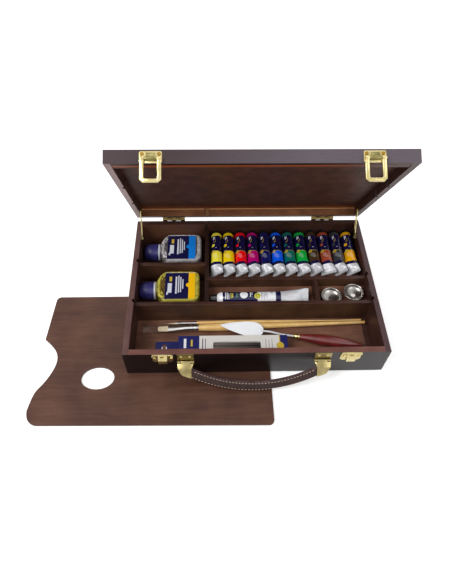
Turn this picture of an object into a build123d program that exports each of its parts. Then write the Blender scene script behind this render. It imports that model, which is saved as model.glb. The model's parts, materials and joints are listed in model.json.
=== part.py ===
from build123d import *
import math
import os

# An artist's oil paint case, in millimetres. It lies open on a table with its palette pulled
# half out from under it. +X is to the right, +Y to the hinges and +Z up. The origin is on the
# underside of the palette, straight below the middle of the case.

# Case
case_width = 400.0
case_depth = 273.6
base_height = 58.5
lid_height = 18.25
wall = 9.0
base_fingers = 7
lid_fingers = 2
bottom_thickness = 4.0
lid_panel_thickness = 4.5
panel_rebate = 4.0
lid_open_angle = 58.8

# Dividers, and the bays between them measured along the inside
divider_thickness = 6.0
divider_drop = 9.5
groove_depth = 3.0
notch_depth = 2.0
front_bay = 86.3
oil_bay = 76.9
middle_bay = 44.5
bottle_bay = 112.5
large_tube_bay = 175.5
raised_floor_thickness = 3.0
batten_height = 21.5
batten_width = 8.0
batten_inset = 5.0
stay_room = 3.5

# Palette, measured from the middle of the case to its right and back edges
palette_thickness = 4.0
palette_length = 368.0
palette_depth = 235.5
palette_right_edge = 24.0
palette_back_edge = 12.0
palette_corner = 8.0
palette_splay = 8.0
palette_skew = 4.5
palette_edge_chamfer = 0.5
thumb_notch_start = 85.0
thumb_notch_length = 123.0
thumb_notch_depth = 30.0
front_corner = 23.0
thumb_hole_length = 51.0
thumb_hole_width = 38.0
thumb_hole_from_left = 98.5
thumb_hole_from_back = 156.0

# Sheet brass, screws and pins
brass = 1.2
screw_radius = 1.2
screw_length = 6.0
head_radius = 2.4
head_height = 1.0
bore_clearance = 0.15
swing_gap = 0.5

# Hinges
hinge_span = 270.0
hinge_width = 40.0
hinge_offset = 6.1
hinge_drop = 1.3
knuckle_radius = 3.0
hinge_pin_radius = 1.4
hinge_leaf_height = 20.0

# Latches: a plate and a swinging loop on the lid, a catch on the base
latch_span = 281.0
latch_width = 28.5
latch_plate_height = 15.5
latch_pin_rise = 5.5
latch_barrel_radius = 2.2
latch_pin_radius = 0.9
latch_pin_gap = 0.3
latch_tab_width = 11.0
latch_tab_rise = 2.2
loop_width = 27.0
loop_thickness = 1.8
loop_reach = 30.8
loop_arm = 5.4
loop_bar = 5.2
loop_lip = 1.1
catch_width = 31.0
catch_height = 21.0
catch_drop = 0.4
catch_corner = 4.0
ear_width = 7.0
ear_depth = 1.3
ear_height = 3.5
fin_width = 1.6
fin_depth = 3.4
hump_width = 14.0
hump_depth = 5.6
hump_height = 17.0
hump_slot = (7.0, 1.6)

# Lid stays: a slotted strip on each side
stay_thickness = 1.2
stay_half_width = 4.2
stay_pin_radius = 1.8
stay_slot_gap = 0.3
stay_wall_gap = 0.3
stay_lid_reach = 34.0
stay_lid_rise = 6.0
stay_case_reach = 38.9
stay_case_drop = 10.5
stay_screw_head = 3.4

# Handle, a stitched leather grip held in two folded brass clasps
handle_centre = -4.0
handle_drop_angle = 52.2
handle_pivot_height = 40.0
handle_pivot_offset = 3.2
clasp_outer = 115.5
clasp_width = 25.0
clasp_reach = 24.5
clasp_half_thickness = 6.0
handle_barrel_radius = 2.4
handle_pin_radius = 1.2
handle_plate_height = 15.0
grip_depth = 12.5
grip_thickness = 10.0
grip_sag = 22.5
grip_half_span = 94.5
grip_low_reach = 41.0
grip_tuck = 9.5

# Twelve paint tubes
tube_count = 12
tube_radius = 9.75
tube_pitch = 21.4
tube_length = 91.0
tube_start_gap = 4.4
tube_cap_radius = 6.5
tube_cap_length = 9.0
tube_shoulder = 1.6
tube_crimp_width = 26.0
tube_crimp_length = 4.0
crimp_thickness = 1.8
tube_barrel = 66.0
tube_twists = [38, 44, 40, 43, 36, 42, 45, 39, 48, 18, 48, 41]

# Large tube
large_radius = 10.3
large_length = 151.0
large_barrel = 104.0
large_shoulder = 5.0
large_crimp_width = 31.0
large_crimp_length = 5.0
large_crimp_turn = 40.0
large_cap_radius = 7.0
large_cap_length = 11.0
large_front_gap = 2.7
large_end_gap = 2.6

# Bottles
bottle_width = 62.0
bottle_thickness = 32.0
bottle_body = 74.0
bottle_shoulder = 16.0
bottle_neck_radius = 11.0
bottle_wall = 2.4
bottle_corner = 8.0
bottle_cap_radius = 16.0
bottle_cap_length = 25.0
bottle_ring_length = 4.0
bottle_side_gap = 2.2
clear_end_gap = 3.0
oil_end_gap = 0.6
bottle_edge = 3.6
liquid_gap = 0.1

# Dippers
dipper_radius = 17.0
dipper_height = 9.5
dipper_wall = 1.0
dipper_foot_radius = 11.0
dipper_side_gap = 5.6
dipper_spacing = 38.7
dipper_left_front_gap = 0.4
dipper_right_front_gap = 7.4

# Brushes, measured from the tip of the bristles
round_bristle = 16.0
round_ferrule = 33.0
round_length = 324.0
round_radius = 3.4
round_tip_radius = 2.0
round_turn = 0.5
round_left_gap = 49.0
round_front_gap = 8.6
flat_bristle = 17.0
flat_ferrule = 50.0
flat_length = 343.0
flat_radius = 6.5
flat_tip_width = 10.5
flat_tip_thickness = 4.4
flat_socket_radius = 5.2
flat_crimps = [6.0, 12.0]
crimp_ridge = 0.6
flat_turn = 1.5
flat_left_gap = 34.6
flat_front_gap = 21.4
strand = 0.3
strand_pitch = 0.4
sleeve_wall = 0.4
sleeve_length = 52.0
sleeve_overhang = 24.0

# Palette knife
knife_length = 230.0
blade_length = 71.0
blade_width = 25.0
blade_thickness = 0.8
blade_widest = 0.74
blade_root = 5.0
neck_length = 50.0
neck_radius = 1.6
knife_ferrule = 9.0
knife_radius = 8.0
knife_crank = 6.9
knife_turn = -9.9
knife_roll = 18.0
knife_left_gap = 137.0
knife_front_gap = 17.8

# Charcoal carton
carton_length = 173.5
carton_width = 38.0
carton_height = 20.0
carton_left_gap = 70.0
carton_front_gap = 43.2
carton_tab = 38.0
carton_card = 0.8
carton_window_length = 75.0
carton_window_width = 18.0
carton_window_depth = 7.0
stick_radius = 2.6

# Gap under loose things that lie on a surface
rest_gap = 0.3

# Levels and faces that follow from the sizes
base_z = palette_thickness
rim_z = base_z + base_height
lid_top_z = rim_z + lid_height
floor_z = base_z + bottom_thickness
inner_left, inner_right = -case_width / 2 + wall, case_width / 2 - wall
inner_front, inner_back = -case_depth / 2 + wall, case_depth / 2 - wall
divider_top = rim_z - divider_drop
long_front = inner_front + front_bay
long_back = long_front + divider_thickness
oil_back = long_back + oil_bay
clear_front = oil_back + divider_thickness
middle_back = long_back + middle_bay
tray_front = middle_back + divider_thickness
upright_left = inner_left + bottle_bay
upright_right = upright_left + divider_thickness
dipper_left = upright_right + large_tube_bay
dipper_bay_left = dipper_left + divider_thickness
raised_top = floor_z + batten_height + raised_floor_thickness
hinge_y = case_depth / 2 + hinge_offset
hinge_z = rim_z - hinge_drop
front_y = -case_depth / 2
back_y = case_depth / 2
hinge_axis = Axis((0, hinge_y, hinge_z), (1, 0, 0))


def block(x0, x1, y0, y1, z0, z1):
    """A box between two corners."""
    return Pos((x0 + x1) / 2, (y0 + y1) / 2, (z0 + z1) / 2) * Box(x1 - x0, y1 - y0, z1 - z0)


def rod(start, direction, radius, length):
    """A round bar from a point along a direction."""
    return Plane(origin=start, z_dir=direction) * Cylinder(
        radius, length, align=(Align.CENTER, Align.CENTER, Align.MIN))


def open_lid(shape):
    """Turn something drawn on the closed lid up to where the open lid stands."""
    return shape.rotate(hinge_axis, -lid_open_angle)


def write(name, *solids):
    """Keep one node: its solids go into one file."""
    export_step(Compound(children=[s for group in solids for s in group.solids()]), f"parts/{name}.step")


# Boards with finger joints


def finger_slots(z0, z1, count, first):
    """Boxes over the four corners at every second finger."""
    step = (z1 - z0) / count
    slots = []
    for level in range(first, count, 2):
        for x in (-case_width / 2, case_width / 2 - wall):
            for y in (-case_depth / 2, case_depth / 2 - wall):
                z = z0 + level * step
                slots.append(block(x, x + wall, y, y + wall, z, z + step))
    return slots


def frame_boards(z0, z1, fingers, panel):
    """Front, back, left and right boards of the base or the lid."""
    half_w, half_d = case_width / 2, case_depth / 2
    front = block(-half_w, half_w, -half_d, inner_front, z0, z1)
    back = block(-half_w, half_w, inner_back, half_d, z0, z1)
    left = block(-half_w, inner_left, -half_d, half_d, z0, z1)
    right = block(inner_right, half_w, -half_d, half_d, z0, z1)
    even, odd = finger_slots(z0, z1, fingers, 0), finger_slots(z0, z1, fingers, 1)
    return [front - even - panel, back - even - panel, left - odd - panel, right - odd - panel]


def panel(z0, z1):
    """A flat panel let into a rebate all round the inside of the boards."""
    return block(inner_left - panel_rebate, inner_right + panel_rebate,
                 inner_front - panel_rebate, inner_back + panel_rebate, z0, z1)


def groove(x0, x1, y0, y1):
    """A groove for a divider, cut from the floor through base and lid."""
    return block(x0, x1, y0, y1, floor_z, lid_top_z - lid_panel_thickness)


side_grooves = [
    groove(inner_left - groove_depth, inner_left, oil_back, clear_front),
    groove(inner_left - groove_depth, inner_left, long_front, long_back),
    groove(inner_right, inner_right + groove_depth, long_front, long_back),
    groove(inner_right, inner_right + groove_depth, middle_back, tray_front),
    groove(upright_left, upright_right, inner_back, inner_back + groove_depth),
]

base_bottom = panel(base_z, floor_z)
lid_panel = panel(lid_top_z - lid_panel_thickness, lid_top_z)
base_front, base_back, base_left, base_right = [
    board - side_grooves for board in frame_boards(base_z, rim_z, base_fingers, base_bottom)]
lid_front, lid_back, lid_left, lid_right = [
    board - side_grooves for board in frame_boards(rim_z, lid_top_z, lid_fingers, lid_panel)]

# Dividers, housed in the boards and in each other

long_divider = block(inner_left - groove_depth, inner_right + groove_depth,
                     long_front, long_back, floor_z, divider_top)
upright_divider = block(upright_left, upright_right, long_back - notch_depth,
                        inner_back + groove_depth, floor_z, divider_top)
bottle_divider = block(inner_left - groove_depth, upright_left + notch_depth,
                       oil_back, clear_front, floor_z, divider_top)
tray_divider = block(upright_right - notch_depth, inner_right + groove_depth,
                     middle_back, tray_front, floor_z, divider_top)
dipper_divider = block(dipper_left, dipper_bay_left, long_back - notch_depth,
                       middle_back + notch_depth, floor_z, divider_top)
long_divider = long_divider - upright_divider - dipper_divider
upright_divider = upright_divider - bottle_divider - tray_divider
tray_divider = tray_divider - dipper_divider

# Raised floors lift the tubes and the dippers towards the top of the case


def raised_floor(x0, x1, y0, y1):
    """A thin board on two battens, let down into one bay."""
    left, right = x0 + rest_gap, x1 - rest_gap
    board = block(left, right, y0 + rest_gap, y1 - rest_gap, floor_z + batten_height, raised_top)
    battens = [block(left, right, y, y + batten_width, floor_z, floor_z + batten_height)
               for y in (y0 + batten_inset, y1 - batten_inset - batten_width)]
    return [board] + battens


raised_floors = (
    raised_floor(upright_right, inner_right - stay_room, tray_front, inner_back)
    + raised_floor(upright_right, dipper_left, long_back, middle_back)
    + raised_floor(dipper_bay_left, inner_right, long_back, middle_back))


# Screws: each is a headed pin, and the same pin is drilled out of what it passes through


def screw(point, inward, head=head_radius, shank=screw_radius, length=screw_length, under_head=0.0):
    """A screw whose head seats under_head above a surface point, with its shank running inward."""
    outward = -Vector(*inward)
    seat = Vector(*point) + outward * under_head
    pin = rod(seat, inward, shank, length + under_head)
    dome = rod(seat, outward, head, head_height)
    rims = dome.edges().filter_by(GeomType.CIRCLE)
    return pin + chamfer(rims.sort_by(lambda rim: (rim.center() - seat).dot(outward))[-1], head_height * 0.45)


def drill(point, inward, shank=screw_radius, length=screw_length):
    """The hole for a screw, a little wider than its shank."""
    start = Vector(*point) - Vector(*inward) * brass * 3
    return rod(start, inward, shank + 0.05, length + brass * 3 + 0.2)


# Hinges: a leaf on the back of each half, bent back to knuckles round one pin


def hinge_leaf(centre, side, knuckles):
    """A leaf below (side -1) or above (side 1) the hinge line, with its knuckles."""
    x0, x1 = centre - hinge_width / 2, centre + hinge_width / 2
    edge = hinge_z + side * knuckle_radius
    near, far = sorted((edge - side * brass, edge + side * hinge_leaf_height))
    leaf = block(x0, x1, back_y, back_y + brass, near, far)
    pitch = hinge_width / 5
    for index in knuckles:
        k0 = x0 + index * pitch + (bore_clearance if index else 0)
        k1 = x0 + (index + 1) * pitch - (bore_clearance if index < 4 else 0)
        low, high = sorted((edge, edge - side * brass))
        leaf += block(k0, k1, back_y, hinge_y, low, high)
        leaf += rod((k0, hinge_y, hinge_z), (1, 0, 0), knuckle_radius, k1 - k0)
    bore = rod((x0 - 1, hinge_y, hinge_z), (1, 0, 0), hinge_pin_radius + bore_clearance, hinge_width + 2)
    return leaf - bore


hinge_centres = [-hinge_span / 2, hinge_span / 2]
base_leaves = [hinge_leaf(x, -1, (0, 2, 4)) for x in hinge_centres]
lid_leaves = [hinge_leaf(x, 1, (1, 3)) for x in hinge_centres]
hinge_pins = [rod((x - hinge_width / 2, hinge_y, hinge_z), (1, 0, 0), hinge_pin_radius, hinge_width)
              for x in hinge_centres]
hinge_screw_x = [x + dx for x in hinge_centres for dx in (-hinge_width * 0.32, 0, hinge_width * 0.32)]
base_leaf_points = [(x, back_y, hinge_z - knuckle_radius - hinge_leaf_height * 0.6) for x in hinge_screw_x]
lid_leaf_points = [(x, back_y, hinge_z + knuckle_radius + hinge_leaf_height * 0.45) for x in hinge_screw_x]

# Latches, drawn with the lid closed

latch_centres = [-latch_span / 2, latch_span / 2]
latch_pin_y = front_y - brass - latch_barrel_radius - latch_pin_gap
latch_pin_z = rim_z + latch_pin_rise


def latch_plate(centre):
    """The plate on the lid, with a tab that is pressed out of it and rolled to the middle knuckle."""
    half = latch_width / 2
    knuckle = loop_width / 2 - loop_arm - bore_clearance
    face = front_y - brass
    low = rim_z + 0.3
    plate = block(centre - half, centre + half, face, front_y, low, low + latch_plate_height)
    plate = fillet(plate.edges().filter_by(Axis.Y), 2.4)
    barrel = rod((centre - knuckle, latch_pin_y, latch_pin_z), (1, 0, 0), latch_barrel_radius, 2 * knuckle)
    barrel_top = latch_pin_z + latch_barrel_radius
    barrel += block(centre - knuckle, centre + knuckle, latch_pin_y, face, barrel_top - brass, barrel_top)
    tab = make_face(Polyline(
        (front_y, low + latch_plate_height - 2), (face, low + latch_plate_height - 2),
        (face - latch_tab_rise, barrel_top + 2.6), (latch_pin_y - latch_barrel_radius, latch_pin_z),
        (latch_pin_y, latch_pin_z), (latch_pin_y, barrel_top - brass), (front_y, barrel_top - brass), close=True))
    barrel += Pos(centre - latch_tab_width / 2, 0, 0) * extrude(Plane.YZ * tab, latch_tab_width)
    bore = rod((centre - half, latch_pin_y, latch_pin_z), (1, 0, 0),
               latch_pin_radius + bore_clearance, latch_width)
    return plate + barrel - bore


def latch_pin(centre):
    return rod((centre - loop_width / 2 + 0.5, latch_pin_y, latch_pin_z), (1, 0, 0),
               latch_pin_radius, loop_width - 1)


def latch_loop(centre):
    """The swinging loop: two arms with a knuckle each and a lipped bar, bent from one strap."""
    half = loop_width / 2
    back = latch_pin_y + loop_thickness / 2
    front = back - loop_thickness
    bottom = latch_pin_z - loop_reach
    strap = block(centre - half, centre + half, front, back, bottom, latch_pin_z)
    strap = chamfer(strap.edges().filter_by(Axis.Y).group_by(Axis.Z)[0], 4.0)
    inside = half - loop_arm
    window = block(centre - inside, centre + inside, front_y - 20, front_y, bottom + loop_bar, latch_pin_z + 5)
    strap -= fillet(window.edges().filter_by(Axis.Y).group_by(Axis.Z)[0], 2.0)
    strap = chamfer(strap.faces().sort_by(Axis.Y)[0].edges(), loop_thickness * 0.35)
    for x in (centre - half, centre + inside):
        strap += rod((x, latch_pin_y, latch_pin_z), (1, 0, 0), latch_barrel_radius, loop_arm)
    lip = rod((centre - half + 6, front, bottom + loop_bar * 0.45), (1, 0, 0), loop_lip, loop_width - 12)
    bore = rod((centre - half - 1, latch_pin_y, latch_pin_z), (1, 0, 0),
               latch_pin_radius + bore_clearance, loop_width + 2)
    return strap + lip - bore


def catch(centre):
    """The catch on the base: a screwed plate with two ears and the hump that the loop snaps over."""
    half = catch_width / 2
    face = front_y - brass
    top = rim_z - catch_drop
    low = top - catch_height
    plate = block(centre - half, centre + half, face, front_y, low, top)
    plate = chamfer(plate.edges().filter_by(Axis.Y).group_by(Axis.Z)[0], catch_corner)
    for depth, width in ((ear_depth, ear_width), (fin_depth, fin_width)):
        flare = Plane.YZ * make_face(Polyline((front_y, top), (face - depth, top), (face, top - ear_height),
                                              (front_y, top - ear_height), close=True))
        for x in (centre - half, centre + half - width):
            plate += Pos(x, 0, 0) * extrude(flare, width)
    hump_low = top - 1.2 - hump_height
    side = Plane.YZ * make_face(Polyline(
        (front_y, hump_low + hump_height), (face - 0.6, hump_low + hump_height),
        (face - hump_depth, hump_low + hump_height * 0.58), (face - hump_depth * 0.94, hump_low + 1.2),
        (face - hump_depth * 0.7, hump_low), (front_y, hump_low), close=True))
    hump = Pos(centre - hump_width / 2, 0, 0) * extrude(side, hump_width)
    ends = hump.faces().filter_by(Axis.X)
    hump = chamfer([edge for end in ends for edge in end.edges() if edge.center().Y < face - 0.5], 0.6)
    slot_y, slot_z = face - 2.0, hump_low + hump_height
    slot = block(centre - hump_slot[0] / 2, centre + hump_slot[0] / 2, slot_y - hump_slot[1] / 2,
                 slot_y + hump_slot[1] / 2, slot_z - 5, slot_z + 2)
    return plate + hump - slot


latch_screw_dx = latch_width / 2 - 3.6
plate_points = [(x + s * latch_screw_dx, front_y, rim_z + latch_plate_height - 3.4)
                for x in latch_centres for s in (-1, 1)]
catch_points = [(x + s * (catch_width / 2 - 3.2), front_y, rim_z - catch_drop - catch_height * 0.5)
                for x in latch_centres for s in (-1, 1)]

# Lid stays. The case screw rides in the slot of a strip that is pivoted on the lid. The slot's
# arc passes through the three places where the strip meets that screw: open, half way and shut.

stay_case = (hinge_y - stay_case_reach, rim_z - stay_case_drop)
stay_shut_pivot = (hinge_y - stay_lid_reach, hinge_z + stay_lid_rise)


def turned(point, centre, degrees):
    """A (y, z) point turned about another, from +Y towards +Z."""
    angle = math.radians(degrees)
    y, z = point[0] - centre[0], point[1] - centre[1]
    return (centre[0] + y * math.cos(angle) - z * math.sin(angle),
            centre[1] + y * math.sin(angle) + z * math.cos(angle))


def heading(start, end):
    return math.degrees(math.atan2(end[1] - start[1], end[0] - start[0]))


stay_pivot = turned(stay_shut_pivot, (hinge_y, hinge_z), -lid_open_angle)
stay_turn = (heading(stay_shut_pivot, stay_case) - heading(stay_pivot, stay_case)) - lid_open_angle


def slot_point(share):
    """Where the case screw meets the strip, share of the way from open to shut."""
    lid_undone = turned(stay_case, (hinge_y, hinge_z), -lid_open_angle * share)
    return turned(lid_undone, stay_pivot, -stay_turn * share)


def stay(side):
    """One slotted strip, standing against the inner face of a side board."""
    slot_line = ThreePointArc(slot_point(-0.02), slot_point(0.5), slot_point(1.02))
    with BuildSketch(Plane.YZ) as outline:
        add(SlotArc(slot_line, stay_half_width * 2))
        with Locations(((stay_pivot[0] + slot_point(1)[0]) / 2, (stay_pivot[1] + slot_point(1)[1]) / 2)):
            reach = math.dist(stay_pivot, slot_point(1))
            SlotCenterToCenter(reach, stay_half_width * 2, rotation=heading(stay_pivot, slot_point(1)))
        add(SlotArc(slot_line, (stay_pin_radius + stay_slot_gap) * 2), mode=Mode.SUBTRACT)
        with Locations(stay_pivot):
            Circle(stay_pin_radius + bore_clearance, mode=Mode.SUBTRACT)
    strip = extrude(outline.sketch, stay_thickness)
    offset = inner_right - stay_wall_gap - stay_thickness if side > 0 else inner_left + stay_wall_gap
    return Pos(offset, 0, 0) * strip


def stay_screw(side, spot):
    """A shoulder screw: its head holds the strip and its shank goes into the board."""
    wall_x = inner_right if side > 0 else inner_left
    under = stay_wall_gap * 2 + stay_thickness
    return screw((wall_x, spot[0], spot[1]), (side, 0, 0), head=stay_screw_head,
                 shank=stay_pin_radius, length=wall * 0.6, under_head=under)


def stay_hole(side, spot):
    wall_x = inner_right if side > 0 else inner_left
    return drill((wall_x, spot[0], spot[1]), (side, 0, 0), shank=stay_pin_radius, length=wall * 0.6)


# Handle, drawn level with its pivot at the origin and its grip reaching out along -Y

pivot_y = front_y - handle_pivot_offset
pivot_z = base_z + handle_pivot_height


def hang(shape):
    """Turn a level handle piece down and put it on its pivot."""
    return Pos(handle_centre, pivot_y, pivot_z) * shape.rotate(Axis.X, handle_drop_angle)


def grip(gap, span):
    """The stitched grip, a rounded oblong bent round one large arc, with a gap all round it."""
    radius = (grip_half_span ** 2 + grip_sag ** 2) / (2 * grip_sag)
    centre_y = -grip_low_reach + radius
    turn = math.degrees(math.asin(span / radius))
    with BuildSketch(Plane.YZ) as square:
        with Locations((-grip_low_reach + (grip_depth - grip_thickness) / 2, 0)):
            RectangleRounded(grip_depth + 2 * gap, grip_thickness + 2 * gap, grip_thickness * 0.24)
    bend = Axis((0, centre_y, 0), (0, 0, 1))
    bar = revolve(square.sketch, bend, 2 * turn)
    return bar.rotate(bend, -turn)


def clasp(side):
    """The folded brass clasp on one end, with a pocket for the grip."""
    inner = clasp_outer - clasp_width
    plan = make_face(FilletPolyline(
        (inner, 0), (inner + 4, -9), (inner + 4, -clasp_reach), (inner + 18, -clasp_reach + 5),
        (clasp_outer - 1, -9), (clasp_outer, 0), radius=(0.5, 0.5, 7, 8), close=False)
        .edges() + [Line((clasp_outer, 0), (inner, 0))])
    half = clasp_half_thickness
    body = extrude(plan, half, both=True)
    knuckle = handle_barrel_radius
    profile = make_face(Polyline((0.0, -knuckle * 0.9), (0.0, knuckle * 0.9), (-9.0, half),
                                 (-clasp_reach - 1, half), (-clasp_reach - 1, -half), (-9.0, -half), close=True))
    body &= Plane.YZ * extrude(profile, clasp_outer + 5)
    body -= grip(rest_gap, grip_half_span + grip_tuck + rest_gap)
    k0, k1 = inner + 5.5, clasp_outer - 5.5
    cut = knuckle + swing_gap
    body -= block(0, k0 + bore_clearance, -cut, cut, -cut, cut)
    body -= block(k1 - bore_clearance, clasp_outer + 5, -cut, cut, -cut, cut)
    body += rod((k0 + bore_clearance, 0, 0), (1, 0, 0), knuckle, k1 - k0 - 2 * bore_clearance)
    body -= rod((0, 0, 0), (1, 0, 0), handle_pin_radius + bore_clearance, clasp_outer + 10)
    return body if side > 0 else mirror(body, Plane.YZ)


def handle_plate(side):
    """The hinge plate on the base that carries one clasp."""
    inner = clasp_outer - clasp_width
    low = handle_barrel_radius + swing_gap
    plate = block(inner, clasp_outer, handle_pivot_offset - brass, handle_pivot_offset,
                  low, low + handle_plate_height)
    for x0, x1 in ((inner, inner + 5.5), (clasp_outer - 5.5, clasp_outer)):
        plate += block(x0, x1, handle_pivot_offset - brass, handle_pivot_offset, 0, low)
        plate += rod((x0, 0, 0), (1, 0, 0), handle_barrel_radius, x1 - x0)
    plate -= rod((inner - 1, 0, 0), (1, 0, 0), handle_pin_radius + bore_clearance, clasp_width + 2)
    return Pos(handle_centre, pivot_y, pivot_z) * (plate if side > 0 else mirror(plate, Plane.YZ))


def handle_pin(side):
    inner = clasp_outer - clasp_width
    x = handle_centre + (inner if side > 0 else -clasp_outer)
    return rod((x, pivot_y, pivot_z), (1, 0, 0), handle_pin_radius, clasp_width)


handle_screw_u = [clasp_outer - clasp_width + 6, clasp_outer - 6]
handle_points = [(handle_centre + s * u, front_y, pivot_z + handle_barrel_radius + handle_plate_height * 0.6)
                 for s in (-1, 1) for u in handle_screw_u]


# Palette: a flat board with a thumb notch in its left edge and an oval thumb hole


def palette_board():
    """The outline runs from the back right corner to the left, down the notched edge and back."""
    right, back, corner = palette_right_edge, palette_back_edge, palette_corner
    left, front = right - palette_length, back - palette_depth
    notch = back - thumb_notch_start
    notch_end = notch - thumb_notch_length
    front_left = (left + front_corner * 0.8, front + palette_skew)
    with BuildSketch() as outline:
        with BuildLine():
            Line((right - corner, back), (left + palette_splay + corner, back))
            RadiusArc((left + palette_splay + corner, back), (left + palette_splay, back - corner), -corner)
            Line((left + palette_splay, back - corner), (left + palette_splay / 2, notch))
            Spline((left + palette_splay / 2, notch), (left + thumb_notch_depth, notch - thumb_notch_length * 0.32),
                   (left + thumb_notch_depth * 0.43, notch - thumb_notch_length * 0.68), (left, notch_end),
                   tangents=[(0.75, -0.65), (-0.15, -1)])
            Spline((left, notch_end), front_left, tangents=[(0.1, -1), (1, -0.12)])
            Line(front_left, (right - corner, front))
            RadiusArc((right - corner, front), (right, front + corner), -corner)
            Line((right, front + corner), (right, back - corner))
            RadiusArc((right, back - corner), (right - corner, back), -corner)
        make_face()
        with Locations((left + thumb_hole_from_left, back - thumb_hole_from_back)):
            Ellipse(thumb_hole_length / 2, thumb_hole_width / 2, mode=Mode.SUBTRACT)
    board = extrude(outline.sketch, palette_thickness)
    rims = board.edges().group_by(Axis.Z)
    return chamfer(rims[0] + rims[-1], palette_edge_chamfer)


# Paint tubes, drawn with the cap's end at the origin and the body running along -Y


def squeezed_tube(radius, barrel, length, shoulder, crimp_width, crimp_length, twist, neck):
    """A round barrel that flattens to a crimped end, twisted about its own axis."""
    start = Plane.XZ
    body = rod((0, -shoulder, 0), (0, -1, 0), radius, barrel - shoulder)
    top = loft([start.offset(0) * Circle(neck), start.offset(shoulder) * Circle(radius)], ruled=True)
    crimp_start = length - crimp_length
    flat = Rot(0, 0, twist) * Ellipse(crimp_width / 2, crimp_thickness / 2)
    waist = Rot(0, 0, twist) * Ellipse(crimp_width * 0.44, radius * 0.55)
    taper = loft([start.offset(barrel) * Circle(radius), start.offset((barrel + crimp_start) / 2) * waist,
                  start.offset(crimp_start) * flat])
    tail = extrude(start.offset(crimp_start) * flat, crimp_length)
    return top + body + taper + tail


def screw_cap(radius, length, ribs):
    """A tapered cap with grip ribs, from y 0 to y length."""
    cap = loft([Plane.XZ * Circle(radius), Plane.XZ.offset(-length) * Circle(radius * 0.86)], ruled=True)
    cut = []
    for index in range(ribs):
        angle = 2 * math.pi * index / ribs
        cut.append(rod((radius * math.cos(angle), -0.5, radius * math.sin(angle)), (0, 1, 0),
                       radius * 0.09, length * 0.85))
    return cap - cut


tube_y = inner_back - rest_gap - tube_cap_length
tube_z = raised_top + rest_gap + tube_radius
tube_x = [upright_right + tube_start_gap + tube_radius + index * tube_pitch for index in range(tube_count)]
small_cap = screw_cap(tube_cap_radius, tube_cap_length, 12)


def paint_tube(index):
    """One tube with its cap in place."""
    tube = squeezed_tube(tube_radius, tube_barrel, tube_length, tube_shoulder, tube_crimp_width,
                         tube_crimp_length, tube_twists[index], tube_cap_radius * 0.9)
    place = Pos(tube_x[index], tube_y, tube_z)
    return place * tube, place * small_cap


large_x = upright_right + large_end_gap + large_cap_length
large_y = long_back + large_front_gap + large_radius
large_z = raised_top + rest_gap + large_radius
to_x = Pos(large_x, large_y, large_z) * Rot(0, 0, 90)
large_tube = to_x * squeezed_tube(large_radius, large_barrel, large_length, large_shoulder, large_crimp_width,
                                  large_crimp_length, large_crimp_turn, large_cap_radius * 0.9)
large_cap = to_x * screw_cap(large_cap_radius, large_cap_length, 16)


# Bottles: flat flasks lying down, neck to the left


def flask(inset):
    """The flask's outline drawn inset from its outside, thick all over, neck at x 0."""
    half = bottle_width / 2 - inset
    neck = bottle_neck_radius - inset
    end = bottle_body - inset
    shoulder = bottle_shoulder
    start = inset * 0.8
    with BuildSketch() as plan:
        with BuildLine():
            Line((start, -neck), (start, neck))
            Spline((start, neck), (shoulder, half), tangents=[(0.25, 1), (1, 0.05)])
            Line((shoulder, half), (end - bottle_corner, half))
            RadiusArc((end - bottle_corner, half), (end, half - bottle_corner), bottle_corner)
            Line((end, half - bottle_corner), (end, -half + bottle_corner))
            RadiusArc((end, -half + bottle_corner), (end - bottle_corner, -half), bottle_corner)
            Line((end - bottle_corner, -half), (shoulder, -half))
            Spline((shoulder, -half), (start, -neck), tangents=[(-1, 0.05), (-0.25, 1)])
        make_face()
    depth = bottle_thickness / 2 - inset
    body = extrude(plan.sketch, depth, both=True)
    rims = body.edges().filter_by(lambda edge: abs(abs(edge.center().Z) - depth) < 0.01)
    return chamfer(rims, bottle_edge - inset * 0.4)


def bottle(place):
    """Glass with the liquid that fills it."""
    neck_length = bottle_ring_length + bottle_cap_length * 0.6
    glass = flask(0) + rod((0.5, 0, 0), (-1, 0, 0), bottle_neck_radius, neck_length + 0.5)
    bore = rod((bottle_wall * 2, 0, 0), (-1, 0, 0), bottle_neck_radius - bottle_wall, neck_length + 10)
    inside = flask(bottle_wall)
    liquid = flask(bottle_wall + liquid_gap)
    return place * (glass - inside - bore), place * liquid


def bottle_cap(place):
    """The cap, hollow over the neck, and its loose ring in one turned piece."""
    neck_length = bottle_ring_length + bottle_cap_length * 0.6
    whole = bottle_ring_length + bottle_cap_length
    dome = rod((-rest_gap, 0, 0), (-1, 0, 0), bottle_cap_radius, whole - rest_gap)
    far = dome.edges().filter_by(GeomType.CIRCLE).sort_by(Axis.X)[0]
    dome = fillet(far, 3.5)
    split = rod((-bottle_ring_length, 0, 0), (-1, 0, 0), bottle_cap_radius + 1, 0.6)
    split -= rod((-bottle_ring_length + 1, 0, 0), (-1, 0, 0), bottle_cap_radius - 0.6, 3)
    hollow = rod((1, 0, 0), (-1, 0, 0), bottle_neck_radius + rest_gap, neck_length + 1 + rest_gap)
    return place * (dome - split - hollow)




def bottle_place(end_gap, back):
    """A bottle's neck, with its cap end_gap from the left wall and its body before a board's face."""
    return Pos(inner_left + end_gap + bottle_cap_length + bottle_ring_length,
               back - bottle_side_gap - bottle_width / 2, floor_z + rest_gap + bottle_thickness / 2)


clear_place = bottle_place(clear_end_gap, inner_back)
oil_place = bottle_place(oil_end_gap, oil_back)


# Dippers: little spun metal cups with a foot, a full belly and a rolled rim


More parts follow.
